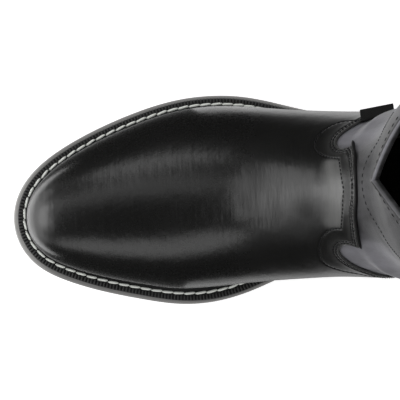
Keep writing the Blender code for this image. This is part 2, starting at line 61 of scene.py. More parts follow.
# Sizes shared with the solids
LENGTH = 305.0
TOE_SPRING = 13.0
HEEL_HEIGHT = 30.0
TREAD_FRONT = 85.0
TREAD_BACK = 122.0
HEEL_SEAT_START = 240.0
HEEL_SEAT_SLOPE = 0.06
HEEL_BREAST_SHARE = 0.725
OUTSOLE_THICK = 5.0
WELT_THICK = 3.2
INSOLE_THICK = 4.0
HEEL_CAP_THICK = 7.0
HEEL_TAPER = 2.6
HEEL_TOP_INSET = 1.2
HEEL_LAYERS = 4
LAYER_GROOVE = 0.35
GAP = 0.35
WALL = 2.2
OVERLAY_THICK = 1.3
OVERLAY_GAP = 0.45
SKIN = OVERLAY_THICK + OVERLAY_GAP
SIDE_SEAM = 0.7
SEAM_GAP = 0.0016
BINDING_RADIUS = 1.7
BINDING_LAP = 0.6
# Painted highlight on the collar bead: angles round it, from outward through up, where the lighter band
# starts, is full, starts to go and has gone
BEAD_LIGHT = (32.0, 50.0, 78.0, 96.0)
COLLAR_DIP = 12.0
COLLAR_DIP_SHARE = 0.34
COLLAR_DIP_START = 1.55
COLLAR_DIP_POWER = 1.3
HEEL_BLEND = 0.16
HEEL_BLEND_SPAN = 0.2
HEEL_BLEND_ACROSS = (0.04, 0.4)
HEEL_BLEND_STEPS = 11
CURL_START = 0.7
FOOT_LIFT = 0.35
HEEL_LIFT = 0.2
SLOPE_STEP = 0.5
NUDGE = 0.01

# Outsole edge seen from above: station, lateral half width, medial half width
TOE_TIP = (0.0, -6.0)
HEEL_END = (LENGTH, 0.5)
OUTLINE = (
    (4.0, 9.2, -21.5),
    (13.0, 20.5, -31.9),
    (27.0, 30.6, -39.6),
    (45.0, 39.7, -45.9),
    (66.0, 47.7, -51.1),
    (88.0, 53.4, -54.7),
    (107.0, 55.0, -53.8),
    (126.0, 53.2, -48.3),
    (148.0, 47.3, -39.2),
    (175.0, 40.6, -33.2),
    (205.0, 36.6, -31.6),
    (240.0, 35.8, -33.0),
    (270.0, 35.2, -33.6),
    (290.0, 28.5, -27.5),
    (301.0, 14.5, -13.5),
)

# Welt shown outside the upper: share of the half outline, lateral margin, medial margin
MARGINS = (
    (0.0, 8.2, 8.2),
    (0.2, 7.2, 8.6),
    (0.4, 6.8, 9.4),
    (0.55, 5.0, 6.0),
    (0.7, 3.4, 3.4),
    (1.0, 3.0, 3.0),
)

# Outsole rim shown outside the welt: share of the half outline, width
RIM = (
    (0.0, 2.5),
    (0.15, 2.0),
    (0.3, 1.5),
    (0.42, 1.1),
    (0.6, 1.2),
    (1.0, 1.7),
)

# Flare of the finished sole edge: share of the half outline, lateral inset, medial inset
SOLE_FLARE = (
    (0.0, 0.0, 0.0),
    (0.1, 0.0, -0.4),
    (0.2, -0.2, -0.45),
    (0.3, -0.4, -0.55),
    (0.38, -0.4, -0.4),
    (0.46, -0.65, -0.9),
    (0.55, -0.5, -0.4),
    (0.7, 0.0, 0.0),
    (1.0, 0.0, 0.0),
)

# Sole stitches inside the sole edge: share of the half outline, lateral inset, medial inset
SOLE_ROW = (
    (0.0, 5.9, 5.9),
    (0.16, 4.9, 5.6),
    (0.3, 4.4, 5.5),
    (0.4, 4.3, 5.4),
    (0.5, 3.9, 4.6),
    (0.6, 3.2, 3.6),
    (0.7, 2.6, 2.6),
)
SOLE_ROW_END = 0.7
STITCH_GROOVE = SOLE_ROW + ((0.85, 2.3, 2.3), (1.0, 2.2, 2.2))

# Welt profile from its outer foot, over the stitch groove, to its inner foot: line, inset past it, rise
WELT_PROFILE = (
    ("rim", 0.3, 0.0),
    ("rim", 0.0, 0.3),
    ("rim", 0.0, 2.3),
    ("rim", 0.35, 2.7),
    ("groove", -1.1, 2.75),
    ("groove", -0.6, 2.45),
    ("groove", 0.6, 2.45),
    ("groove", 1.1, 2.85),
    ("feather", 0.6, 2.9),
    ("feather", SKIN + WALL, 2.9),
    ("feather", SKIN + WALL, 0.0),
)
RIB_RISE = WELT_THICK - 0.4
STITCH_RISE = WELT_THICK - 0.45

# Front centre line of the upper in side view: station, height
FRONT_LINE = (
    (26.0, 48.5),
    (45.0, 54.0),
    (66.0, 59.2),
    (88.0, 65.6),
    (108.0, 73.5),
    (126.0, 84.0),
    (142.0, 96.5),
    (156.0, 110.5),
    (166.5, 125.0),
    (172.5, 141.0),
    (175.0, 160.0),
    (175.3, 185.0),
    (172.8, 212.0),
    (169.4, 248.0),
)

# Back seam above the feather line in side view: station, height
BACK_LINE = (
    (303.3, 55.0),
    (301.5, 78.0),
    (297.3, 105.0),
    (294.0, 135.0),
    (293.0, 165.0),
    (294.0, 200.0),
    (296.5, 230.0),
    (299.0, 256.0),
)

# Where each section meets the front line: section, reach along the line, sideways shift
FRONT_REACH = (
    (0.0, 0.0, -6.0),
    (0.1, 6.0, -5.5),
    (0.2, 27.0, -4.4),
    (0.3, 54.0, -3.0),
    (0.4, 83.0, -1.6),
    (0.5, 109.0, -0.3),
    (0.6, 132.0, 0.9),
    (0.7, 152.0, 2.0),
    (0.8, 169.0, 3.0),
    (0.9, 182.0, 3.6),
    (1.0, 193.0, 4.0),
    (1.25, 215.0, 4.7),
    (1.5, 238.0, 5.3),
    (1.75, 263.0, 5.2),
    (2.0, 289.0, 4.8),
)

# Widest line of the upper from the waist back: section, station, height, lateral, medial
SIDE_LINE_BLEND = (0.25, 0.36)
SIDE_LINE = (
    (0.25, 67.0, 21.3, 41.0, -43.2),
    (0.3, 83.3, 22.3, 45.7, -45.5),
    (0.35, 99.5, 24.5, 48.5, -45.8),
    (0.4, 115.0, 28.5, 48.6, -44.9),
    (0.45, 129.5, 34.0, 47.0, -43.8),
    (0.5, 143.5, 40.5, 45.1, -43.0),
    (0.6, 171.0, 53.5, 42.2, -42.4),
    (0.7, 196.0, 65.0, 40.6, -43.6),
    (0.8, 216.0, 77.0, 39.7, -42.6),
    (0.9, 230.0, 89.0, 39.6, -41.6),
    (1.0, 236.0, 101.0, 40.8, -42.2),
    (1.25, 236.0, 132.0, 45.0, -46.6),
    (1.5, 235.5, 174.0, 49.5, -50.0),
    (1.75, 235.5, 214.0, 53.0, -48.0),
    (2.0, 235.5, 256.0, 54.2, -41.5),
)

# Shape of each section: section, foot wall height, bulge, side fullness, top fullness, plan slant
SECTION_SHAPE = (
    (0.0, 8.5, 0.2, 0.60, 0.60, 1.0),
    (0.2, 11.0, 0.6, 0.60, 0.58, 1.0),
    (0.4, 16.0, 1.1, 0.56, 0.56, 0.9),
    (0.6, 24.0, 1.4, 0.54, 0.57, 0.4),
    (0.8, 30.0, 1.4, 0.56, 0.62, 0.0),
    (1.0, 30.0, 1.4, 0.64, 0.78, 0.0),
    (1.3, 30.0, 1.4, 0.69, 0.85, 0.0),
    (1.6, 30.0, 1.4, 0.69, 0.83, 0.0),
    (2.0, 30.0, 1.4, 0.60, 0.60, 0.0),
)

# Forward pinch of the shaft's front: section, lateral share, medial share
FRONT_PINCH = (
    (1.0, 0.0, 0.0),
    (1.4, 0.06, 0.1),
    (1.7, 0.15, 0.26),
    (2.0, 0.26, 0.46),
)

# Back edge of the vamp: column, then lateral section and turn, medial section and turn
TONGUE_EDGE = (
    (1.0, 0.866, 1.0, 0.866, 1.0),
    (0.985, 0.859, 0.965, 0.855, 1.036),
    (0.965, 0.838, 0.922, 0.823, 1.075),
    (0.945, 0.806, 0.876, 0.789, 1.134),
    (0.93, 0.778, 0.846, 0.763, 1.178),
    (0.915, 0.752, 0.826, 0.744, 1.212),
)
WING_EDGE = (
    (0.915, 0.752, 0.826, 0.744, 1.212),
    (0.905, 0.737, 0.834, 0.724, 1.199),
    (0.895, 0.711, 0.838, 0.702, 1.193),
    (0.875, 0.689, 0.826, 0.676, 1.198),
    (0.845, 0.671, 0.803, 0.658, 1.218),
    (0.815, 0.666, 0.775, 0.65, 1.242),
    (0.78, 0.67, 0.745, 0.652, 1.272),
    (0.75, 0.68, 0.72, 0.66, 1.305),
    (0.715, 0.69, 0.692, 0.671, 1.335),
    (0.67, 0.698, 0.655, 0.688, 1.37),
    (0.6, 0.703, 0.595, 0.698, 1.43),
    (0.53, 0.702, 0.53, SIDE_SEAM, 1.483),
    (0.46, SIDE_SEAM, 0.46, SIDE_SEAM, 1.54),
    (0.36, SIDE_SEAM, 0.36, SIDE_SEAM, 1.64),
    (0.24, SIDE_SEAM, 0.24, SIDE_SEAM, 1.76),
    (0.12, SIDE_SEAM, 0.12, SIDE_SEAM, 1.88),
    (0.0, SIDE_SEAM, 0.0, SIDE_SEAM, 2.0),
)

# Rolled back edge of the tongue, past both corners: section, turn
TONGUE_ROLL = (
    (0.736, 0.79),
    (0.757, 0.818),
    (0.782, 0.846),
    (0.81, 0.876),
    (0.842, 0.922),
    (0.863, 0.965),
    (0.87, 1.0),
    (0.859, 1.036),
    (0.827, 1.075),
    (0.793, 1.134),
    (0.766, 1.18),
    (0.747, 1.222),
)
ROLL_RADIUS = 0.85
ROLL_DEPTH = 0.75

# Outer stitch row round the notches and over the tongue: section, turn; each list ends in a corner
OUTER_ROW = (
    ((0.7, 0.64), (0.692, 0.66), (0.666, 0.667), (0.64, 0.68), (0.618, 0.718), (0.606, 0.787),
     (0.616, 0.825), (0.644, 0.855), (0.67, 0.868), (0.722, 0.88)),
    ((0.722, 0.88), (0.756, 0.94), (0.781, 1.005)),
    ((0.781, 1.005), (0.754, 1.065), (0.714, 1.13)),
    ((0.714, 1.13), (0.682, 1.13), (0.652, 1.143), (0.632, 1.16), (0.608, 1.203), (0.592, 1.268),
     (0.594, 1.308), (0.606, 1.335), (0.62, 1.36), (0.65, 1.39), (0.68, 1.43)),
)

# Stitch row over the front of the shaft: section, turn
SHAFT_ROW = (
    (1.62, 0.822), (1.45, 0.836), (1.28, 0.85), (1.12, 0.87), (1.02, 0.9), (0.96, 0.945), (0.94, 0.995),
    (0.955, 1.03), (0.985, 1.06), (1.074, 1.098), (1.182, 1.127), (1.372, 1.15), (1.488, 1.167), (1.62, 1.19),
)

# Painted shade over the front of the shaft, painted darker than the sides in place of the front taking less
# light: turns where it starts, is full, starts to go and has gone
SHAFT_FRONT_SHADE = (0.78, 0.87, 1.14, 1.24)

# Stitch row under the collar, and the side seams: first section, last section, turns below and above
COLLAR_ROW = 1.915
SEAM_UP = (0.735, 1.955)
SEAM_TURNS = ((0.545, 0.5), (1.455, 1.5))
SEAM_HALF = 0.011

# Soft creases of the vamp: section and turn at both ends, depth, half width
CREASES = (
    (0.42, 0.66, 0.45, 1.30, 0.07, 5.0),
    (0.50, 0.72, 0.49, 1.12, 0.09, 4.5),
    (0.53, 1.00, 0.57, 1.40, 0.16, 6.0),
    (0.60, 1.02, 0.58, 1.28, 0.12, 5.0),
    (0.64, 0.80, 0.65, 1.10, 0.05, 3.5),
)

# Soft folds of the shaft over the ankle: section and turn at both ends, depth, half width
FOLDS = (
    (0.96, 0.34, 1.10, 0.74, 0.6, 8.0),
    (1.06, 1.72, 1.20, 1.28, 0.6, 8.0),
    (0.98, 1.16, 1.22, 1.24, 0.5, 5.0),
    (1.30, 0.20, 1.36, 0.60, 0.5, 10.0),
    (1.34, 1.80, 1.44, 1.36, 0.5, 10.0),
)

# Slouch of the soft ankle over the wings, and the leather raised beside the vamp: sections and shares
# across where they start, are full, start to go and have gone
SLOUCH_UP = (0.708, 0.775, 0.95, 1.3)
SLOUCH_ACROSS = (0.42, 0.54, 0.66, 0.84)
BESIDE_UP = (0.6, 0.66, 0.95, 1.1)
BESIDE_ACROSS = (0.5, 0.56)
BESIDE_RISE = 0.35

# Rows of the stitched margin inside the vamp's edge, and the padded margin's width; the margin is also
# painted lighter, a painted highlight for its ridges catching light
MARGIN_ROWS = (1.5, 2.9)
MARGIN_WIDTH = 3.9

# Dulled leather about the tongue's outer row, also painted lighter as a painted reflection: half width, then
# the turns it starts and stops between
DULL_WIDTH = (5.5, 13.5)
DULL_TURN = (0.865, 0.895, 1.11, 1.14)

# Matte spots of the instep and the toe: section, turn, radius, amount
MATTE = (
    (0.615, 1.07, 9.0, 1.0),
    (0.575, 1.12, 9.0, 0.8),
    (0.535, 1.07, 7.0, 0.4),
    (0.49, 0.95, 8.0, 0.35),
    (0.0, 0.6, 15.0, 0.45),
)

# Flexed leather over the instep: sections where it starts, is full, starts to go and has gone
FLEXED = (0.42, 0.54, 0.7, 0.78)

# Top edge of the heel counter in side view: station, height
COUNTER_TOP = (
    (190.0, 60.5),
    (215.0, 63.0),
    (240.0, 66.0),
    (265.0, 71.0),
    (285.0, 79.0),
    (298.0, 87.0),
    (310.0, 92.0),
)
COUNTER_ROWS = (1.6, 3.0)

# Side tab on the lateral wing: section, turn, how far it stands out, how far it drops
TAB_EDGE = (
    (0.703, 0.67, 5.6, 8.6),
    (0.757, 0.588, 4.8, 4.4),
)
TAB_STAND_OFF = 0.35
TAB_THICK = 1.2
WEAVE_SCALE = 0.35


def spline(rows, flat_start=False):
    """Smooth curve through rows of (parameter, value, value...) as a function of the parameter."""
    table = np.array(rows, float)
    knots = table[:, 0]
    values = table[:, 1:]
    count = len(knots)
    step = np.diff(knots)[:, None]
    slope = np.diff(values, axis=0) / step
    system = np.eye(count)
    right = np.zeros_like(values)
    for i in range(1, count - 1):
        before = step[i - 1, 0]
        after = step[i, 0]
        system[i, i - 1:i + 2] = (before, 2.0 * (before + after), after)
        right[i] = 6.0 * (slope[i] - slope[i - 1])
    if flat_start:
        system[0, :2] = (2.0, 1.0)
        right[0] = 6.0 * slope[0] / step[0]
    bend = np.linalg.solve(system, right)

    def at(parameter):
        place = np.atleast_1d(np.asarray(parameter, float))
        i = np.clip(np.searchsorted(knots, place) - 1, 0, count - 2)
        width = step[i]
        left = (knots[i + 1] - place)[:, None]
        past = (place - knots[i])[:, None]
        cubic = (bend[i] * left ** 3 + bend[i + 1] * past ** 3) / (6.0 * width)
        start = (values[i] / width - bend[i] * width / 6.0) * left
        end = (values[i + 1] / width - bend[i + 1] * width / 6.0) * past
        return cubic + start + end

    return at


def with_lengths(rows):
    """Put the running length along the polyline in front of each row."""
    points = np.array(rows, float)
    run = np.concatenate(([0.0], np.cumsum(np.linalg.norm(np.diff(points, axis=0), axis=1))))
    return np.column_stack((run, points))


def smoothstep(low, high, value):
    share = np.clip((np.asarray(value, float) - low) / (high - low), 0.0, 1.0)
    return share * share * (3.0 - 2.0 * share)


def window(bounds, value):
    """Rise between the first two bounds and fall between the last two."""
    return smoothstep(*bounds[:2], value) * (1.0 - smoothstep(*bounds[2:], value))


def unit(vectors):
    return vectors / np.maximum(np.linalg.norm(vectors, axis=-1, keepdims=True), 1e-9)


def closed_outline():
    """Closed spline round the outsole edge, with the parameters of the heel end and of a full turn."""
    lateral = [(row[0], row[1]) for row in OUTLINE]
    medial = [(row[0], row[2]) for row in reversed(OUTLINE)]
    loop = [TOE_TIP] + lateral + [HEEL_END] + medial
    lap = 6
    run = with_lengths(loop[-lap:] + loop + loop[:lap + 1])
    run[:, 0] -= run[lap, 0]
    heel = run[lap + len(lateral) + 1, 0]
    turn = run[lap + len(loop), 0]
    return spline(run), heel, turn


OUTLINE_AT, HEEL_PLACE, FULL_TURN = closed_outline()
MARGIN_AT = spline(MARGINS)
FRONT_AT = spline(with_lengths(FRONT_LINE))
REACH_AT = spline(FRONT_REACH, flat_start=True)
SIDE_AT = spline(SIDE_LINE)
SHAPE_AT = spline(SECTION_SHAPE)
PINCH_AT = spline(FRONT_PINCH)


def edge(side, share):
    """Point on the outsole edge and its outward normal; share runs 0 at the toe to 1 at the heel."""
    share = np.atleast_1d(np.asarray(share, float))
    if side == LATERAL:
        place = share * HEEL_PLACE
        nudge = NUDGE
    else:
        place = FULL_TURN - share * (FULL_TURN - HEEL_PLACE)
        nudge = -NUDGE
    along = unit(OUTLINE_AT(place + nudge) - OUTLINE_AT(place - nudge))
    outward = side * np.column_stack((-along[:, 1], along[:, 0]))
    return OUTLINE_AT(place), outward


def inset(side, share, distance):
    point, outward = edge(side, share)
    return point - outward * np.reshape(distance, (-1, 1))


def by_side(table_at, side, share):
    return table_at(share)[:, 0 if side == LATERAL else 1]


def feather_margin(side, share):
    return by_side(MARGIN_AT, side, share)


def sole_rise(station):
    """Height of the outsole's underside over the floor: toe spring, flat tread, waist, heel seat."""
    station = np.asarray(station, float)
    toe = TOE_SPRING * np.clip((TREAD_FRONT - station) / TREAD_FRONT, 0.0, 2.0) ** 2
    seat = HEEL_HEIGHT + (station - LENGTH) * HEEL_SEAT_SLOPE
    seat_start = HEEL_HEIGHT + (HEEL_SEAT_START - LENGTH) * HEEL_SEAT_SLOPE
    span = HEEL_SEAT_START - TREAD_BACK
    share = np.clip((station - TREAD_BACK) / span, 0.0, 1.0)
    ease = share * share * (3.0 - 2.0 * share)
    waist = seat_start * ease + HEEL_SEAT_SLOPE * span * share * share * (share - 1.0)
    return np.where(station > HEEL_SEAT_START, seat, toe + waist)


def welt_bottom(station):
    return sole_rise(station) + OUTSOLE_THICK + GAP


def feather_height(station):
    return welt_bottom(station) + WELT_THICK + GAP


def back_curve():
    heel = inset(LATERAL, 1.0, feather_margin(LATERAL, 1.0))[0]
    start = (heel[0], float(feather_height(heel[0])))
    run = with_lengths((start,) + BACK_LINE)
    return spline(run), run[-1, 0]


BACK_AT, BACK_LENGTH = back_curve()


def feather(side, share):
    flat = inset(side, share, feather_margin(side, share))
    return np.column_stack((flat, feather_height(flat[:, 0])))


def collar_shift(section, across):
    """Drop of the collar towards its front dip, fading down the shaft."""
    near_front = np.clip(1.0 - (1.0 - across) / COLLAR_DIP_SHARE, 0.0, 1.0)
    return -COLLAR_DIP * near_front ** COLLAR_DIP_POWER * smoothstep(COLLAR_DIP_START, COLLAR, section)


def rib_controls(side, section):
    """Foot, side and front points of the sections, with the control points of the two curves between."""
    low = np.minimum(section, HEEL)
    foot = feather(side, low)
    up_back = np.clip(section - HEEL, 0.0, 1.0) * BACK_LENGTH
    back = BACK_AT(up_back)
    back_step = BACK_AT(up_back + SLOPE_STEP) - BACK_AT(up_back - SLOPE_STEP)
    on_back = section > HEEL
    foot[on_back, 0] = back[on_back, 0]
    foot[on_back, 1] = HEEL_END[1]
    foot[on_back, 2] = back[on_back, 1]

    shape = SHAPE_AT(section)
    wall, bulge, full_side, full_top, slant = shape.T
    slant = np.clip(slant, 0.0, 1.0)
    outward = edge(side, low)[1]
    fore = foot.copy()
    fore[:, :2] += outward * bulge[:, None]
    fore[:, 2] += wall
    table = SIDE_AT(np.maximum(section, SIDE_LINE_BLEND[0]))
    rear = np.column_stack((table[:, 0], table[:, 2 if side == LATERAL else 3], table[:, 1]))
    blend = smoothstep(*SIDE_LINE_BLEND, section)[:, None]
    widest = fore * (1.0 - blend) + rear * blend

    reach = REACH_AT(section)
    line = FRONT_AT(reach[:, 0])
    line_step = FRONT_AT(reach[:, 0] + SLOPE_STEP) - FRONT_AT(reach[:, 0] - SLOPE_STEP)
    climb = line_step[:, 1] / np.maximum(line_step[:, 0], SLOPE_STEP / 2.0)
    front = np.column_stack((line[:, 0], reach[:, 1], line[:, 1]))

    axis = np.column_stack(((1.0 - slant) * (front - foot)[:, 0], np.zeros(len(section)),
                            (front - foot)[:, 2]))
    axis = unit(axis)
    curl = smoothstep(CURL_START, HEEL, section)
    drop = widest - foot
    along = np.column_stack((-outward[:, 1], outward[:, 0])) * side
    forward = np.where(along[:, :1] * -1.0 + along[:, 1:] * side > 0.0, along, -along)
    plan_run = np.maximum(np.sum(drop[:, :2] * forward, axis=1), 0.0)
    lean = back_step[:, 0] / np.maximum(back_step[:, 1], SLOPE_STEP / 5.0)
    start = np.zeros_like(foot)
    start[:, :2] = (1.0 - curl)[:, None] * FOOT_LIFT * drop[:, :2]
    start[:, :2] += curl[:, None] * (full_side * plan_run)[:, None] * forward
    lift = FOOT_LIFT + HEEL_LIFT * curl
    start[:, :2] += (curl * lift * drop[:, 2] * lean)[:, None] * outward
    start[:, 2] = lift * drop[:, 2]
    low_run = np.linalg.norm(drop[:, ::2], axis=1)
    top_share = np.column_stack((1.0 - slant, np.ones(len(slant))))
    top_run = np.linalg.norm((front - widest)[:, ::2] * top_share, axis=1)
    before = widest - axis * (full_side * low_run)[:, None]
    after = widest + axis * (full_side * top_run)[:, None]
    over = widest - front
    arrive = front.copy()
    pinch = by_side(PINCH_AT, side, np.maximum(section, HEEL))
    arrive[:, 0] += full_top * (slant + np.maximum(pinch, 0.0)) * over[:, 0]
    arrive[:, 1] += full_top * over[:, 1]
    arrive[:, 2] += full_top * slant * over[:, 0] * climb
    return (foot, foot + start, before, widest), (widest, after, arrive, front)


def bezier(controls, share):
    rest = 1.0 - share
    a, b, c, d = controls
    share = share[:, None]
    rest = rest[:, None]
    return a * rest ** 3 + 3.0 * b * rest ** 2 * share + 3.0 * c * rest * share ** 2 + d * share ** 3


def ribs(side, section, across):
    low, top = rib_controls(side, section)
    lower = bezier(low, np.clip(2.0 * across, 0.0, 1.0))
    upper = bezier(top, np.clip(2.0 * across - 1.0, 0.0, 1.0))
    return np.where(across[:, None] < 0.5, lower, upper)


def surface(side, section, across):
    """Outside of the boot on one side; round the heel it is a mean over nearby sections."""
    reach = HEEL_BLEND * np.exp(-((section - HEEL) / HEEL_BLEND_SPAN) ** 2)
    reach *= smoothstep(*HEEL_BLEND_ACROSS, across)
    steps = np.linspace(-1.0, 1.0, HEEL_BLEND_STEPS)
    weights = 1.0 + np.cos(np.pi * steps)
    points = np.zeros((len(section), 3))
    for step, weight in zip(steps, weights / weights.sum()):
        points += weight * ribs(side, section + step * reach, across)
    points[:, 2] += collar_shift(section, across)
    points[:, 0] -= LENGTH / 2.0
    return points


def outside(section, turn):
    """Outside of the boot at arrays of sections and turns, in the arrays' own shape."""
    section, turn = np.broadcast_arrays(np.asarray(section, float), np.asarray(turn, float))
    flat_section = section.ravel()
    flat_turn = turn.ravel()
    points = np.empty((flat_section.size, 3))
    for side, mask in ((LATERAL, flat_turn <= 1.0), (MEDIAL, flat_turn > 1.0)):
        if mask.any():
            across = flat_turn[mask] if side == LATERAL else 2.0 - flat_turn[mask]
            points[mask] = surface(side, flat_section[mask], np.clip(across, 0.0, 1.0))
    return points.reshape(section.shape + (3,))


def slopes(section, turn):
    """Change of the outside with the section and with the turn, and its outward normal."""
    step = 0.002
    low = np.maximum(turn - step, 0.0)
    high = np.minimum(turn + step, 2.0)
    by_section = (outside(section + step, turn) - outside(section - step, turn)) / (2.0 * step)
    by_turn = (outside(section, high) - outside(section, low)) / (high - low)[..., None]
    return by_section, by_turn, unit(np.cross(by_turn, by_section))


def even_path(section, turn, pitch):
    """Sections and turns at an even pitch in millimetres along a path on the leather."""
    run = with_lengths(outside(section, turn))[:, 0]
    count = max(int(round(run[-1] / pitch)), 1)
    places = (np.arange(count) + 0.5) * run[-1] / count
    return np.interp(places, run, section), np.interp(places, run, turn)


def smooth_path(rows, samples=240):
    """Dense sections and turns along a smooth curve through a row's places."""
    run = with_lengths(rows)
    at = spline(run)(np.linspace(0.0, run[-1, 0], samples))
    return at[:, 0], at[:, 1]


def eased(values, rounds):
    """Values with their corners eased, ends kept."""
    for _ in range(rounds):
        values[1:-1] = 0.5 * values[1:-1] + 0.25 * (values[:-2] + values[2:])
    return values


def vamp_edge(side, samples=400):
    """Column, section and turn along the vamp's back edge from the front to the sole."""
    pick = (0, 1, 2) if side == LATERAL else (0, 3, 4)
    parts = []
    for table, rounds in ((TONGUE_EDGE, 60), (WING_EDGE, 160)):
        rows = np.array(table)[:, pick]
        run = with_lengths(rows * (1.0, 1.0, 0.5))[:, 0]
        dense = np.linspace(0.0, run[-1], samples)
        parts.append(eased(np.column_stack([np.interp(dense, run, rows[:, k]) for k in range(3)]), rounds))
    return np.concatenate((parts[0], parts[1][1:]))


def inside_row(section, turn, distance):
    """Path at a distance in from an edge path, on the outside of the boot; the sole is left out."""
    by_section, by_turn, normal = slopes(section, turn)
    points = outside(section, turn)
    along = unit(np.gradient(points, axis=0))
    inward = np.cross(normal, along)
    middle = outside(np.array([0.45]), np.array([1.0]))[0]
    if np.sum(inward * (middle - points)) < 0.0:
        inward = -inward
    moved = inward * distance
    a = np.sum(by_section * by_section, axis=1)
    b = np.sum(by_section * by_turn, axis=1)
    c = np.sum(by_turn * by_turn, axis=1)
    p = np.sum(by_section * moved, axis=1)
    q = np.sum(by_turn * moved, axis=1)
    spread = a * c - b * b
    new_section = section + (p * c - q * b) / spread
    new_turn = turn + (q * a - p * b) / spread
    found = outside(new_section, new_turn)
    gaps = np.array([np.min(np.linalg.norm(points - spot, axis=1)) for spot in found])
    keep = gaps > 0.93 * distance
    return new_section[keep], new_turn[keep]


def maths(operation):
    """Operator of a wire and its reflected form, each adding a Math node."""
    def node(graph, first, second):
        return graph.node("ShaderNodeMath", {"operation": operation}, {0: first, 1: second})

    return (lambda wire, other: node(wire.graph, wire, other),
            lambda wire, other: node(wire.graph, other, wire))


class Wire:
    """An output socket that can stand in sums, products and powers."""

    __add__, __radd__ = maths("ADD")
    __sub__, __rsub__ = maths("SUBTRACT")
    __mul__, __rmul__ = maths("MULTIPLY")
    __pow__, __rpow__ = maths("POWER")

    def __init__(self, graph, socket):
        self.graph = graph
        self.socket = socket


class Graph:
    """Adds nodes to one tree: type, settings, then socket values or wires."""

    def __init__(self, tree):
        self.tree = tree

    def feed(self, socket, item):
        if isinstance(item, Wire):
            self.tree.links.new(item.socket, socket)
        else:
            socket.default_value = item

    def node(self, kind, settings=None, inputs=None, output=0):
        made = self.tree.nodes.new(kind)
        for key, item in (settings or {}).items():
            setattr(made, key, item)
        for key, item in (inputs or {}).items():
            self.feed(made.inputs[key], item)
        return Wire(self, made.outputs[output])


class Finish(Graph):
    """A material with a Principled shader and the textures that leather, rubber and thread need."""

    def __init__(self, name):
        self.material = bpy.data.materials.new(name)
        self.material.use_nodes = True
        super().__init__(self.material.node_tree)
        self.shader = self.tree.nodes["Principled BSDF"]
        self.place = self.node("ShaderNodeTexCoord", output="Object")

    def set(self, **sockets):
        for name, item in sockets.items():
            self.feed(self.shader.inputs[name.replace("_", " ")], item)

    def stretched(self, scale):
        return self.node("ShaderNodeMapping", {}, {"Vector": self.place, "Scale": scale})

    def noise(self, scale, detail=3.0, roughness=0.55, place=None):
        inputs = {"Vector": place or self.place, "Scale": scale, "Detail": detail, "Roughness": roughness}
        return self.node("ShaderNodeTexNoise", {}, inputs)

    def cells(self, scale, place=None):
        inputs = {"Vector": place or self.place, "Scale": scale}
        return self.node("ShaderNodeTexVoronoi", {"feature": "DISTANCE_TO_EDGE"}, inputs)

    def ranged(self, value, low, high, start, end):
        inputs = {"Value": value, "From Min": low, "From Max": high, "To Min": start, "To Max": end}
        return self.node("ShaderNodeMapRange", {}, inputs)

    def mixed(self, factor, first, second):
        colours = [item if isinstance(item, Wire) else (*item, 1.0) for item in (first, second)]
        inputs = {"Factor": factor, 6: colours[0], 7: colours[1]}
        return self.node("ShaderNodeMix", {"data_type": "RGBA"}, inputs, output=2)

    def attribute(self, name):
        return self.node("ShaderNodeAttribute", {"attribute_name": name}, output="Fac")

    @staticmethod
    def line(value, centre, width):
        """One on a line at a value, falling off to nothing beside it."""
        return (1.0 + ((value - centre) * (1.0 / width)) ** 4.0) ** -1.0

    def bump(self, height, distance, strength=1.0, below=None):
        inputs = {"Strength": strength, "Distance": distance, "Height": height}
        if below is not None:
            inputs["Normal"] = below
        return self.node("ShaderNodeBump", {}, inputs)


def shade(colour, share):
    return tuple(part * share for part in colour)


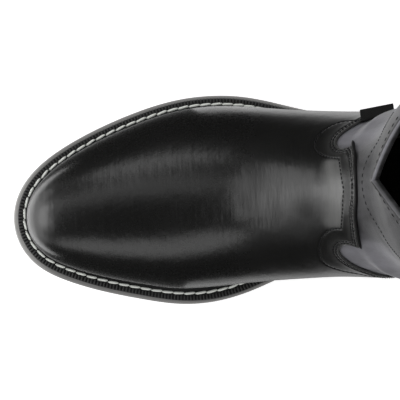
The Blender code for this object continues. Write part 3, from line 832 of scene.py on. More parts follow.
def leather(name, colour, rough, coat, grain, sheen=0.0, painted_shading=None, glare_colour=None):
    """Dyed leather: pore grain, faint streaks, uneven polish.

    An optional second colour, with the attribute that brings it in, paints shade or highlight into the
    leather; an optional lighter colour is painted on a stitched margin and a dulled patch, both placed by
    attributes, as painted highlights and a painted reflection.
    """
    finish = Finish(name)
    patches = finish.noise(28.0, 4.0)
    skin = finish.noise(1500.0, 2.0)
    streaks = finish.noise(60.0, 3.0, place=finish.stretched((7.0, 0.7, 0.7)))
    tint = finish.mixed(patches, shade(colour, 0.75), shade(colour, 1.25))
    if painted_shading:
        grainy = finish.noise(75.0, 4.0, 0.6, place=finish.stretched((1.0, 3.5, 0.5)))
        drawn = finish.ranged(grainy, 0.3, 0.7, 0.0, 1.0) * 0.7
        tint = finish.mixed(drawn, shade(colour, 0.85), shade(colour, 1.45))
        # Painted shade or painted highlight: the second colour mixed in by its attribute.
        tint = finish.mixed(finish.attribute(painted_shading[1]) * (1.0 - 0.3 * drawn), tint, painted_shading[0])
    dullness = (patches - 0.5) * 0.10 + (finish.noise(420.0, 3.0) - 0.5) * 0.08
    normal = finish.bump(finish.noise(110.0, 2.0), 0.00022)
    normal = finish.bump(streaks, 0.00008 + 0.00004 * grain, below=normal)
    if glare_colour:
        edge_mm = finish.attribute("edge_mm")
        seam = finish.line(finish.attribute("row_mm"), 0.0, 0.42) * 0.35
        for distance in MARGIN_ROWS:
            seam = seam + finish.line(edge_mm, distance, 0.4)
        margin = finish.line(edge_mm, 0.0, MARGIN_WIDTH)
        dull = finish.attribute("dull")
        flexed = finish.attribute("flexed")
        # Painted highlight and painted reflection: the padded margin and the dulled tongue patch are painted
        # lighter, less so along the stitch rows.
        painted_glare = (margin * 0.28 + dull * (0.58 + 0.5 * (streaks - 0.5))) * (1.0 - 0.6 * seam)
        tint = finish.mixed(painted_glare, tint, glare_colour)
        dullness = dullness + dull * 0.15 + flexed * 0.04
        lines = finish.noise(60.0, 2.0, place=finish.stretched((11.0, 1.8, 1.8)))
        normal = finish.bump(lines * flexed, 0.00013, below=normal)
        normal = finish.bump(margin - seam, 0.0004, below=normal)
    polish = finish.ranged(patches, 0.3, 0.7, coat * 0.85, coat)
    if glare_colour:
        matte = finish.attribute("matte")
        dullness = dullness + matte * 0.34
        polish = polish * (1.0 - matte)
    finish.set(Base_Color=tint, Roughness=rough + dullness, Coat_Weight=polish)
    finish.set(Coat_Roughness=rough * 0.85, Sheen_Weight=sheen, Sheen_Roughness=0.25)
    finish.set(Specular_IOR_Level=0.7 if coat else 0.5)
    normal = finish.bump(skin, 0.00002 * grain, below=normal)
    pores = finish.ranged(finish.cells(820.0), 0.0, 0.22, 0.0, 1.0)
    finish.set(Normal=finish.bump(pores, 0.000012 * grain, below=normal))
    return finish.material


def rubber(name, colour, rough, dusty=None):
    """Moulded rubber or dyed edge: a fine matte skin with dust mottling, and a lighter colour that an
    attribute can paint in as a painted highlight.
    """
    finish = Finish(name)
    dust = finish.noise(45.0, 5.0)
    tint = finish.mixed(dust, shade(colour, 0.8), shade(colour, 1.2))
    # Painted highlight: a lighter colour brought in by an attribute.
    if dusty:
        tint = finish.mixed(finish.attribute("dusty"), tint, dusty)
    finish.set(Base_Color=tint)
    finish.set(Roughness=rough + (dust - 0.5) * 0.2)
    finish.set(Normal=finish.bump(finish.noise(1400.0, 3.0), 0.00007))
    return finish.material


def stacked(name, colour):
    """Pressed heel layers with fine fibre streaks along the layers."""
    finish = Finish(name)
    fibre = finish.noise(90.0, 4.0, place=finish.stretched((1.0, 1.0, 9.0)))
    finish.set(Base_Color=finish.mixed(fibre, shade(colour, 0.7), shade(colour, 1.35)))
    finish.set(Roughness=0.38 + fibre * 0.2)
    finish.set(Normal=finish.bump(fibre, 0.00015))
    return finish.material


def thread(name, colour, rough):
    """Waxed thread with a soft twist."""
    finish = Finish(name)
    twist = finish.noise(900.0, 2.0)
    finish.set(Base_Color=finish.mixed(twist, shade(colour, 0.82), colour))
    finish.set(Roughness=rough + twist * 0.1)
    finish.set(Normal=finish.bump(twist, 0.00012))
    return finish.material


def woven(name, colour):
    """Tape with a plain weave along its own map."""
    finish = Finish(name)
    place = finish.node("ShaderNodeTexCoord", output="UV")
    height = None
    for axis in ("X", "Y"):
        inputs = {"Vector": place, "Scale": 5.0}
        band = finish.node("ShaderNodeTexWave", {"bands_direction": axis}, inputs, output=1)
        height = band if height is None else height + band
    finish.set(Base_Color=finish.mixed(height * 0.5, shade(colour, 0.5), shade(colour, 1.6)))
    finish.set(Roughness=0.8 + (finish.noise(300.0) - 0.5) * 0.2)
    finish.set(Normal=finish.bump(height, 0.00015))
    return finish.material


def faces_of(ids):
    """Quads of a grid of vertex numbers, as lists without repeated corners."""
    quads = np.stack((ids[:-1, :-1], ids[:-1, 1:], ids[1:, 1:], ids[1:, :-1]), axis=-1).reshape(-1, 4)
    return [tuple(dict.fromkeys(quad)) for quad in quads.tolist()]


def piece(name, points, faces, material, sharp=None, slot=None, replaced=()):
    """Finished mesh object that rides on the boot; points in millimetres."""
    mesh = bpy.data.meshes.new(name)
    mesh.from_pydata((np.asarray(points) * MM).tolist(), [], [face for face in faces if len(face) > 2])
    mesh.validate()
    made = bpy.data.objects.new(name, mesh)
    bpy.context.scene.collection.objects.link(made)
    for item in material if isinstance(material, (list, tuple)) else (material,):
        mesh.materials.append(item)
    mesh.shade_smooth()
    if sharp is not None:
        mesh.set_sharp_from_angle(angle=np.radians(sharp))
    declare(made, slot, replaced)
    return made


def declare(made, slot, replaced=()):
    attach(made, "root")
    if replaced:
        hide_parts(*replaced)


def grid_normals(points, ids):
    """Outward vertex normals of a grid of points, summed where vertices are shared."""
    by_row = np.gradient(points, axis=0)
    by_column = np.gradient(points, axis=1)
    normals = np.cross(by_column, by_row)
    total = np.zeros((ids.max() + 1, 3))
    np.add.at(total, ids.ravel(), normals.reshape(-1, 3))
    return unit(total)[ids]


def merged(ids):
    """Vertex numbers made to run without holes, and where each first stands."""
    _, first, numbers = np.unique(ids.ravel(), return_index=True, return_inverse=True)
    return numbers.reshape(ids.shape), first


def shell(points, ids, inner, outer, roll):
    """Closed sheet from a grid: outside, inside and a rounded rim along each open border.

    Gives the points, the faces and the number of faces on the outside, which come first.
    """
    ids, first = merged(ids)
    normals = grid_normals(points, ids)
    flat = points.reshape(-1, 3)[first]
    lift = np.broadcast_to(outer, ids.shape).ravel()[first][:, None]
    sink = np.broadcast_to(inner, ids.shape).ravel()[first][:, None]
    up = normals.reshape(-1, 3)[first]
    count = len(first)
    outer_faces = faces_of(ids)
    uses = {}
    for face in outer_faces:
        for a, b in zip(face, face[1:] + face[:1]):
            uses[(a, b)] = uses.get((a, b), 0) + 1
    rim = [(a, b) for a, b in uses if (b, a) not in uses]
    away = np.zeros((count, 3))
    for a, b in rim:
        push = np.cross(flat[b] - flat[a], up[a] + up[b])
        away[a] += push
        away[b] += push
    away = unit(away)
    rim_points = sorted({a for pair in rim for a in pair})
    number = {a: k for k, a in enumerate(rim_points)}
    top = flat + up * lift
    bottom = flat + up * sink
    rings = []
    for angle in (30.0, 90.0, 150.0):
        share = (1.0 - np.cos(np.radians(angle))) / 2.0
        ring = top * (1.0 - share) + bottom * share + away * roll * np.sin(np.radians(angle))
        rings.append(ring[rim_points])
    faces = list(outer_faces)
    faces += [tuple(a + count for a in reversed(face)) for face in outer_faces]
    start = 2 * count
    size = len(rim_points)
    for a, b in rim:
        chain = [(a, b)]
        chain += [(start + k * size + number[a], start + k * size + number[b]) for k in range(3)]
        chain += [(a + count, b + count)]
        for (p, q), (r, s) in zip(chain, chain[1:]):
            faces.append((q, p, r, s))
    return np.concatenate([top, bottom] + rings), faces, len(outer_faces)


def nearest(points, path):
    """Distance from each point to a path of points, and where on the path it falls."""
    tree = kdtree.KDTree(len(path))
    for k, spot in enumerate(path):
        tree.insert(spot, k)
    tree.balance()
    found = [tree.find(spot) for spot in points]
    return np.array([item[2] for item in found]), np.array([item[1] for item in found])


def trough(points, paths):
    """Depth at each point from soft creases: each path gives its points, depth and half width."""
    total = np.zeros(len(points))
    for path, depth, width in paths:
        away, place = nearest(points, path)
        away = away / width
        ends = place / (len(path) - 1)
        fade = smoothstep(0.0, 0.25, ends) * smoothstep(1.0, 0.75, ends)
        total -= depth * fade * (np.exp(-away ** 2) - 0.45 * np.exp(-((away - 1.9) / 0.9) ** 2))
    return total


def crease_paths(table):
    paths = []
    for start_section, start_turn, end_section, end_turn, depth, width in table:
        share = np.linspace(0.0, 1.0, 400)
        path = outside(start_section + (end_section - start_section) * share,
                       start_turn + (end_turn - start_turn) * share)
        paths.append((path, depth, width))
    return paths


def groove(points, path, depth, width):
    """Pull of a stitch row on the leather beside it."""
    return -depth * np.exp(-(nearest(points, path)[0] / width) ** 2)


def paint(made, name, values):
    """Store a value for each vertex; what is left over stays nought."""
    full = np.zeros(len(made.data.vertices), np.float32)
    full[:len(values)] = values
    made.data.attributes.new(name, "FLOAT", "POINT").data.foreach_set("value", full)


def uneven(points, size, depth, seed):
    """Slow waves of hand-lasted leather."""
    return depth * np.array([noise.noise((spot / size + seed).tolist()) for spot in points])


def row_places(section, turn, pitch, lift):
    """Centres, directions and normals of the stitches of one row."""
    section, turn = even_path(section, turn, pitch)
    normal = slopes(section, turn)[2]
    points = outside(section, turn)
    return points + normal * lift, unit(np.gradient(points, axis=0)), normal


def bar_tree():
    """Geometry Nodes tree that sets a rounded bar on each point, along its own direction."""
    tree = bpy.data.node_groups.new("Rounded bars on points", "GeometryNodeTree")
    face = tree.interface
    face.new_socket("Points", in_out="INPUT", socket_type="NodeSocketGeometry")
    for name, kind in (("Length", "Float"), ("Width", "Float"), ("Sink", "Float"), ("Slant", "Float"),
                       ("Spread", "Float"), ("Seed", "Int"), ("Material", "Material")):
        face.new_socket(name, in_out="INPUT", socket_type="NodeSocket" + kind)
    face.new_socket("Bars", in_out="OUTPUT", socket_type="NodeSocketGeometry")
    graph = Graph(tree)
    given = tree.nodes.new("NodeGroupInput")
    inputs = {socket.name: Wire(graph, socket) for socket in given.outputs if socket.name}
    half = inputs["Length"] * 0.5
    ends = [graph.node("ShaderNodeCombineXYZ", {}, {"X": half * sign}) for sign in (-1.0, 1.0)]
    line = graph.node("GeometryNodeCurvePrimitiveLine", {}, {"Start": ends[0], "End": ends[1]})
    line = graph.node("GeometryNodeResampleCurve", {}, {"Curve": line, "Count": 7})
    along = graph.node("GeometryNodeSplineParameter") * 2.0 - 1.0
    bow = graph.node("ShaderNodeCombineXYZ", {}, {"Z": (along ** 4.0) * inputs["Sink"] * -1.0})
    line = graph.node("GeometryNodeSetPosition", {}, {"Geometry": line, "Offset": bow})
    ring = graph.node("GeometryNodeCurvePrimitiveCircle", {},
                      {"Resolution": 7, "Radius": inputs["Width"] * 0.5})
    taper = 1.0 - 0.5 * along ** 6.0
    bar = graph.node("GeometryNodeCurveToMesh", {},
                     {"Curve": line, "Profile Curve": ring, "Scale": taper, "Fill Caps": True})
    axes = [graph.node("GeometryNodeInputNamedAttribute", {"data_type": "FLOAT_VECTOR"}, {"Name": name})
            for name in ("along", "up")]
    turned = graph.node("FunctionNodeAxesToRotation", {"primary_axis": "X", "secondary_axis": "Z"},
                        {"Primary Axis": axes[0], "Secondary Axis": axes[1]})
    bars = graph.node("GeometryNodeInstanceOnPoints", {},
                      {"Points": inputs["Points"], "Instance": bar, "Rotation": turned})
    chance = graph.node("FunctionNodeRandomValue", {"data_type": "FLOAT"},
                        {2: -1.0, 3: 1.0, "Seed": inputs["Seed"]}, output=1)
    lean = graph.node("ShaderNodeCombineXYZ", {}, {"Z": inputs["Slant"] + chance * inputs["Spread"]})
    bars = graph.node("GeometryNodeRotateInstances", {}, {"Instances": bars, "Rotation": lean})
    bars = graph.node("GeometryNodeRealizeInstances", {}, {"Geometry": bars})
    bars = graph.node("GeometryNodeSetShadeSmooth", {}, {"Geometry": bars})
    bars = graph.node("GeometryNodeSetMaterial", {}, {"Geometry": bars, "Material": inputs["Material"]})
    done = tree.nodes.new("NodeGroupOutput")
    graph.feed(done.inputs["Bars"], bars)
    return tree


def bars(name, places, length, width, material, slot, sink=0.0, slant=0.0, spread=0.0, seed=1):
    """Piece of rounded bars on (points, directions, normals) in millimetres; length and width too."""
    points, along, up = (np.concatenate(parts) for parts in zip(*places))
    base = bpy.data.meshes.new(name)
    base.from_pydata((points * MM).tolist(), [], [])
    for key, vectors in (("along", along), ("up", up)):
        base.attributes.new(key, "FLOAT_VECTOR", "POINT").data.foreach_set("vector", vectors.ravel())
    holder = bpy.data.objects.new(name + "_points", base)
    bpy.context.scene.collection.objects.link(holder)
    tree = bpy.data.node_groups.get("Rounded bars on points") or bar_tree()
    grown = holder.modifiers.new("bars", "NODES")
    grown.node_group = tree
    given = {"Length": length * MM, "Width": width * MM, "Sink": sink * MM, "Slant": float(np.radians(slant)),
             "Spread": float(np.radians(spread)), "Seed": seed, "Material": material}
    for socket in tree.interface.items_tree:
        if socket.name in given:
            grown[socket.identifier] = given[socket.name]
    view = bpy.context.evaluated_depsgraph_get()
    mesh = bpy.data.meshes.new_from_object(holder.evaluated_get(view))
    mesh.name = name
    bpy.data.objects.remove(holder)
    made = bpy.data.objects.new(name, mesh)
    bpy.context.scene.collection.objects.link(made)
    declare(made, slot)
    return made


def on_sole(side, shares, inset_at, height_at):
    """Points along one side of the sole at an inset and a height."""
    flat = inset(side, shares, inset_at(side, shares))
    return np.column_stack((flat[:, 0] - LENGTH / 2.0, flat[:, 1], height_at(flat[:, 0])))


def plate(shares, loops):
    """Points and faces between stacked loops of (inset, height) functions, capped below and above."""
    count = len(shares)
    points = [on_sole(side, shares, *loop) for loop in loops for side in (LATERAL, MEDIAL)]
    faces = []
    last = len(loops) - 1
    for i in range(count - 1):
        for loop, flip in ((0, True), (last, False)):
            a = 2 * loop * count + i
            ring = (a + 1, a + count + 1, a + count, a)
            faces.append(ring if flip else ring[::-1])
        for k in range(2 * last):
            a = k * count + i
            ring = (a + 2 * count, a + 1 + 2 * count, a + 1, a)
            faces.append(ring if k % 2 == 0 else ring[::-1])
    if shares[0] > 0.0:
        for a in (2 * loop * count for loop in range(last)):
            faces.append((a + 3 * count, a + 2 * count, a, a + count))
    return welded(np.concatenate(points), faces)


def ring_strip(shares, corners):
    """Points and faces of a closed band round the sole, its profile given as (inset, rise) corners."""
    sides = ((LATERAL, shares), (MEDIAL, shares[::-1]))
    loops = [np.concatenate([on_sole(*half, *corner)[:-1] for half in sides]) for corner in corners]
    around = len(loops[0])
    faces = []
    for k in range(len(loops)):
        after = (k + 1) % len(loops)
        for i in range(around):
            j = (i + 1) % around
            faces.append((k * around + j, k * around + i, after * around + i, after * around + j))
    return np.concatenate(loops), faces


def welded(points, faces):
    """Join points that fall together."""
    keys = np.round(points / 0.005).astype(np.int64)
    _, first, numbers = np.unique(keys, axis=0, return_index=True, return_inverse=True)
    numbers = numbers.ravel()
    joined = [tuple(dict.fromkeys(int(numbers[a]) for a in face)) for face in faces]
    return points[first], joined


def constant(distance):
    return lambda side, shares: np.full(len(shares), distance)


def from_table(table, extra=0.0):
    at = spline(table)
    columns = len(table[0]) - 1
    return lambda side, shares: at(shares)[:, 0 if side == LATERAL or columns == 1 else 1] + extra


def beside_feather(distance):
    return lambda side, shares: feather_margin(side, shares) + distance


def above(height_at, rise):
    return lambda station: height_at(station) + rise


def level(height):
    return lambda station: np.full(len(station), height)


def rounded(low, high, radius, steps, base=0.0):
    """Inset and rise pairs up a wall whose two edges are rounded."""
    corner = np.linspace(0.0, np.pi / 2.0, steps)
    pairs = [(base + radius * (1.0 - np.sin(a)), low + radius * (1.0 - np.cos(a))) for a in corner]
    pairs += [(base + radius * (1.0 - np.cos(a)), high - radius * (1.0 - np.sin(a))) for a in corner]
    return pairs


def around_sole(count):
    """Shares round half the sole, closer together at the toe and the heel."""
    even = np.linspace(0.0, 1.0, count)
    return even - 0.09 * np.sin(2.0 * np.pi * even)


def size_property(name, millimetres, description):
    return bpy.props.FloatProperty(
        name=name, description=description, default=millimetres * MM, unit="LENGTH")


def colour_property(name, default, description):
    return bpy.props.FloatVectorProperty(
        name=name, description=description, default=default, subtype="COLOR")


class BootSizes(bpy.types.PropertyGroup):
    """Sizes of the stitching, ribs and grooves."""

    sole_stitch: size_property("Sole stitch", 5.9, "Pitch of the white sole stitches")
    sole_thread: size_property("Sole thread", 1.5, "Width of the white thread")
    welt_rib: size_property("Welt rib", 1.75, "Pitch of the wheel marks on the welt")
    fine_stitch: size_property("Fine stitch", 2.1, "Pitch of the stitches in the upper")
    fine_thread: size_property("Fine thread", 0.65, "Width of the thread in the upper")
    slouch: size_property("Slouch", 4.0, "How far the soft ankle stands out over the wings")
    edge_skive: size_property("Edge skive", 0.35, "Thinning of the vamp along its back edge")


class BootColours(bpy.types.PropertyGroup):
    """Colours of the leathers, the sole and the threads."""

    vamp: colour_property("Vamp", (0.006, 0.006, 0.0057), "Polished vamp and counter leather")
    # Lighter colour painted on the tongue patch and the vamp's margins, a painted reflection and painted
    # highlights.
    painted_glare: colour_property("Lit", (0.115, 0.115, 0.112), "Rubbed leather of the tongue and margins")
    shaft: colour_property("Shaft", (0.120, 0.118, 0.131), "Shaft leather")
    lining: colour_property("Lining", (0.010, 0.010, 0.010), "Lining and sock")
    welt: colour_property("Welt", (0.012, 0.012, 0.012), "Welt strip")
    sole: colour_property("Sole", (0.21, 0.207, 0.202), "Outsole and top lift")
    heel: colour_property("Heel", (0.020, 0.018, 0.017), "Heel stack")
    sole_thread: colour_property("Sole thread", (0.72, 0.74, 0.70), "White sole stitches")
    fine_thread: colour_property("Fine thread", (0.006, 0.006, 0.007), "Black stitches of the upper")


def size(name):
    """One of the sizes in millimetres."""
    return getattr(bpy.context.scene.boot_sizes, name) / MM


def colour(name):
    return tuple(getattr(bpy.context.scene.boot_colours, name))


FINISHES = {
    # The vamp's margins and tongue patch are painted lighter, as painted highlights and a painted reflection.
    "vamp_leather": lambda name: leather(
        name, colour("vamp"), rough=0.27, coat=0.2, grain=0.5, sheen=0.2, glare_colour=colour("painted_glare")),
    "counter_leather": lambda name: leather(
        name, colour("vamp"), rough=0.27, coat=0.2, grain=0.5, sheen=0.2),
    # The shaft's front is painted darker by its second colour, a painted shade in place of the front taking
    # less light than the sides.
    "shaft_leather": lambda name: leather(
        name, colour("shaft"), rough=0.45, coat=0.2, grain=1.7, sheen=0.18,
        painted_shading=(shade(colour("shaft"), 0.13), "front")),
    # The collar bead is a lighter copy of the shaft leather; its second colour darkens all but its top,
    # partly the turned-in lining and partly painted shade, so the top stands as a painted highlight.
    "collar_leather": lambda name: leather(
        name, shade(colour("shaft"), 1.2), rough=0.4, coat=0.3, grain=0.8,
        painted_shading=(colour("lining"), "turned")),
    "boot_lining": lambda name: leather(name, colour("lining"), rough=0.65, coat=0.0, grain=1.2),
    "sock_lining": lambda name: leather(name, colour("lining"), rough=0.6, coat=0.0, grain=1.5),
    "rolled_edge": lambda name: leather(name, colour("lining"), rough=0.5, coat=0.0, grain=0.6),
    # The outsole is painted lighter at the toe, a painted highlight in place of more light falling there.
    "sole_rubber": lambda name: rubber(
        name, colour("sole"), rough=0.55, dusty=shade(colour("sole"), 1.6)),
    "welt_leather": lambda name: rubber(name, colour("welt"), rough=0.5),
    # The wheel marks are a lighter copy of the welt, a painted highlight for the light their ridges catch.
    "welt_ridges": lambda name: rubber(name, shade(colour("welt"), 3.5), rough=0.45),
    "heel_stack": lambda name: stacked(name, colour("heel")),
    "sole_thread": lambda name: thread(name, colour("sole_thread"), rough=0.6),
    "black_thread": lambda name: thread(name, colour("fine_thread"), rough=0.5),
    "tab_weave": lambda name: woven(name, colour("lining")),
}


def look(name):
    """Material of one of the finishes, made once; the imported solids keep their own."""
    own = "look_" + name
    return bpy.data.materials.get(own) or FINISHES[name](own)


class BOOT_OT_sole(bpy.types.Operator):
    """Outsole, heel stack, top lift and sock."""

    bl_idname = "boot.sole"
    bl_label = "Sole and heel"

    def execute(self, context):
        shares = around_sole(220)
        loops = [(from_table(SOLE_FLARE, inside), above(sole_rise, rise))
                 for inside, rise in rounded(0.0, OUTSOLE_THICK, 1.1, 5)]
        points, faces = plate(shares, loops)
        made = piece("boot_outsole", points, faces, look("sole_rubber"), 50.0, "sole_rubber", ("outsole",))
        # Painted highlight: lighter colour at the toe end of the outsole.
        paint(made, "dusty", 1.0 - smoothstep(3.0, 24.0, points[:, 0] + LENGTH / 2.0))
        self.heel()
        loops = [(beside_feather(SKIN + WALL + 3.0 * GAP + inside), above(welt_bottom, rise))
                 for inside, rise in rounded(0.0, INSOLE_THICK, 0.8, 4)]
        points, faces = plate(shares, loops)
        piece("boot_sock", points, faces, look("sock_lining"), 50.0, "insole_board", ("insole",))
        return {"FINISHED"}

    def heel(self):
        behind = np.linspace(HEEL_BREAST_SHARE, 1.0, 90)
        loops = []
        for k in range(HEEL_LAYERS):
            for spot, groove_in in ((0.0, LAYER_GROOVE), (0.06, 0.0), (0.94, 0.0)):
                share = (k + spot) / HEEL_LAYERS
                loops.append((self.taper(share, groove_in), self.between(share)))
        loops.append((self.taper(1.0, LAYER_GROOVE), self.between(1.0)))
        points, faces = plate(behind, loops)
        piece("boot_heel_stack", points, faces, look("heel_stack"), 40.0, "heel_stack", ("heel_block",))
        loops = [(constant(inside), level(rise))
                 for inside, rise in rounded(0.0, HEEL_CAP_THICK, 0.9, 4, HEEL_TAPER)]
        points, faces = plate(behind, loops)
        piece("boot_top_lift", points, faces, look("sole_rubber"), 50.0, "sole_rubber", ("heel_cap",))

    @staticmethod
    def taper(share, extra):
        return constant(HEEL_TAPER + (HEEL_TOP_INSET - HEEL_TAPER) * share + extra)

    @staticmethod
    def between(share):
        low = HEEL_CAP_THICK + GAP
        return lambda station: low + (sole_rise(station) - GAP - low) * share


class BOOT_OT_welt(bpy.types.Operator):
    """Welt strip, its wheel marks and the white sole stitches."""

    bl_idname = "boot.welt"
    bl_label = "Welt and sole stitches"
    TABLES = {"rim": RIM, "groove": STITCH_GROOVE}

    def execute(self, context):
        corners = []
        for line, past, rise in WELT_PROFILE:
            inset_at = beside_feather(past) if line == "feather" else from_table(self.TABLES[line], past)
            corners.append((inset_at, above(welt_bottom, rise)))
        points, faces = ring_strip(around_sole(260), corners)
        piece("boot_welt", points, faces, look("welt_leather"), 45.0, "welt_leather", ("welt",))
        # Wheel marks in a lighter copy of the welt's finish, a painted highlight.
        bars("welt_ribs", self.ribs(), 2.9, 0.85, look("welt_ridges"), "welt_leather", sink=0.3)
        pitch = size("sole_stitch")
        bars("sole_stitches", self.stitches(pitch), pitch * 0.97, size("sole_thread"), look("sole_thread"),
             "welt_leather", sink=0.45, slant=5.0, spread=3.0, seed=7)
        return {"FINISHED"}

    @staticmethod
    def spaced(side, inset_at, pitch, end):
        """Shares of the half outline at an even pitch along an inset line."""
        dense = np.linspace(0.0, end, 2000)
        run = with_lengths(inset(side, dense, inset_at(side, dense)))[:, 0]
        return np.interp((np.arange(int(run[-1] / pitch)) + 0.5) * pitch, run, dense)

    @staticmethod
    def level_places(points, along):
        """Bars that lie flat along directions in plan."""
        along = np.column_stack((along, np.zeros(len(along))))
        return points, along, np.tile((0.0, 0.0, 1.0), (len(points), 1))

    def ribs(self):
        rim = from_table(RIM)
        groove_at = from_table(STITCH_GROOVE)

        def between(side, shares):
            room = groove_at(side, shares) - rim(side, shares)
            return rim(side, shares) + np.minimum(room * 0.42, 1.5)

        places = []
        for side in (LATERAL, MEDIAL):
            shares = self.spaced(side, rim, size("welt_rib"), 0.998)
            points = on_sole(side, shares, between, above(welt_bottom, RIB_RISE))
            places.append(self.level_places(points, edge(side, shares)[1]))
        return places

    def stitches(self, pitch):
        row = from_table(SOLE_ROW)
        places = []
        for side in (LATERAL, MEDIAL):
            shares = self.spaced(side, row, pitch, SOLE_ROW_END)
            points = on_sole(side, shares, row, above(welt_bottom, STITCH_RISE))
            outward = edge(side, shares)[1] * side
            places.append(self.level_places(points, np.column_stack((outward[:, 1], -outward[:, 0]))))
        return places


class BOOT_OT_vamp(bpy.types.Operator):
    """Polished vamp with its tongue, notches, wings and stitch rows."""

    bl_idname = "boot.vamp"
    bl_label = "Vamp"

    def execute(self, context):
        edges = {side: vamp_edge(side) for side in (LATERAL, MEDIAL)}
        section, turn = self.grid(edges)
        ids = np.arange(section.size).reshape(section.shape)
        ids[0, :] = np.minimum(ids[0, :], ids[0, ::-1])
        points = outside(section, turn)
        rows = self.rows(edges)
        lift = self.relief(points, section, rows)
        made, faces, _ = shell(points, ids, -OVERLAY_THICK, lift, 0.35)
        vamp = piece("boot_vamp", made, faces, look("vamp_leather"), None, "upper_leather", ("vamp",))
        self.surface_masks(vamp, points, section, turn, ids, edges)
        self.roll()
        pitch = size("fine_stitch")
        places = [row_places(*row, pitch * 1.12, -0.1) for row in rows]
        bars("vamp_stitches", places, pitch * 0.68, size("fine_thread"), look("black_thread"),
             "upper_leather", sink=0.25, spread=4.0, seed=3)
        return {"FINISHED"}

    @staticmethod
    def surface_masks(vamp, points, section, turn, ids, edges):
        """Distances to the edge and the outer row, and the dulled patch with its painted reflection, as
        attributes.
        """
        first = merged(ids)[1]
        flat = points.reshape(-1, 3)[first]
        around = turn.ravel()[first]
        rim = np.concatenate([outside(rows[:, 1], rows[:, 2]) for rows in edges.values()])
        row = np.concatenate([outside(*smooth_path(part)) for part in OUTER_ROW])
        middle = np.concatenate([outside(*smooth_path(part)) for part in OUTER_ROW[1:3]])
        paint(vamp, "edge_mm", nearest(flat, rim)[0])
        paint(vamp, "row_mm", nearest(flat, row)[0])
        # The dulled patch about the outer row, also painted lighter as a painted reflection, fading out
        # behind the row.
        away = nearest(flat, middle)[0] * (0.78 + 2.2 * np.abs(around - 1.0))
        patch = (1.0 - smoothstep(*DULL_WIDTH, away)) * window(DULL_TURN, around)
        along = section.ravel()[first]
        arch = np.concatenate([np.column_stack(smooth_path(part)) for part in OUTER_ROW[1:3]])
        behind = along - np.interp(around, arch[:, 1], arch[:, 0])
        paint(vamp, "dull", patch * (1.0 - 0.9 * smoothstep(0.0, 0.012, behind)))
        spots = np.zeros(len(flat))
        for spot_section, spot_turn, radius, amount in MATTE:
            away = np.linalg.norm(flat - outside(spot_section, spot_turn), axis=1)
            spots = np.maximum(spots, amount * np.exp(-(away / radius) ** 2))
        paint(vamp, "matte", spots)
        paint(vamp, "flexed", window(FLEXED, along))

    @staticmethod
    def roll():
        """Thin rolled edge along the back of the tongue."""
        section, turn = even_path(*smooth_path(TONGUE_ROLL), 0.5)
        normal = slopes(section, turn)[2]
        path = outside(section, turn) - normal * ROLL_DEPTH
        across = unit(np.cross(np.gradient(path, axis=0), normal))
        share = np.linspace(0.0, 1.0, len(path))
        thick = ROLL_RADIUS * np.sqrt(np.clip(np.minimum(share, 1.0 - share) / 0.05, 0.0, 1.0))[:, None]
        angles = np.arange(10) * 2.0 * np.pi / 10
        rings = np.stack([path + thick * (np.cos(a) * across + np.sin(a) * normal) for a in angles])
        ids = np.arange(rings.shape[0] * rings.shape[1]).reshape(rings.shape[:2])
        ids = np.pad(ids, ((0, 1), (0, 0)), mode="wrap")
        points, faces = welded(rings.reshape(-1, 3), faces_of(ids))
        piece("tongue_roll", points, faces, look("rolled_edge"), None, "upper_leather")

    @staticmethod
    def grid(edges):
        halves = []
        for side in (LATERAL, MEDIAL):
            rows = edges[side]
            run = with_lengths(outside(rows[:, 1], rows[:, 2]))[:, 0]
            near = np.interp(0.6, rows[::-1, 0], run[::-1])
            at = np.concatenate((np.linspace(0.0, near, 150)[:-1], np.linspace(near, run[-1], 44)))
            column, end_section, end_turn = (np.interp(at, run, rows[:, k]) for k in range(3))
            start_turn = column if side == LATERAL else 2.0 - column
            fore = np.linspace(0.0, 1.0, 56) ** 1.15 * 0.5
            section = [np.full(len(at), place) for place in fore]
            turn = [start_turn for place in fore]
            for share in 1.0 - (1.0 - np.linspace(0.0, 1.0, 68)[1:]) ** 1.6:
                section.append(0.5 + (end_section - 0.5) * share)
                turn.append(start_turn + (end_turn - start_turn) * share ** 1.5)
            half = np.stack((np.array(section), np.array(turn)))
            halves.append(half[:, :, ::-1] if side == LATERAL else half[:, :, 1:])
        return np.concatenate(halves, axis=2)

    @staticmethod
    def rows(edges):
        rows = []
        for side in (LATERAL, MEDIAL):
            lower = edges[side]
            lower = lower[(lower[:, 2] > 0.02) & (lower[:, 2] < 1.98)]
            rows += [inside_row(lower[:, 1], lower[:, 2], distance) for distance in MARGIN_ROWS]
        rows += [smooth_path(part) for part in OUTER_ROW]
        return rows

    @staticmethod
    def relief(points, section, rows):
        flat = points.reshape(-1, 3)
        lift = trough(flat, crease_paths(CREASES)) + uneven(flat, 38.0, 0.22, 4.1)
        for row in rows:
            lift += groove(flat, outside(*row), 0.2, 0.7)
        lift = lift.reshape(section.shape)
        rise = np.linspace(0.0, 1.0, len(section))[:, None]
        lift -= size("edge_skive") * smoothstep(0.95, 1.0, rise)
        return lift


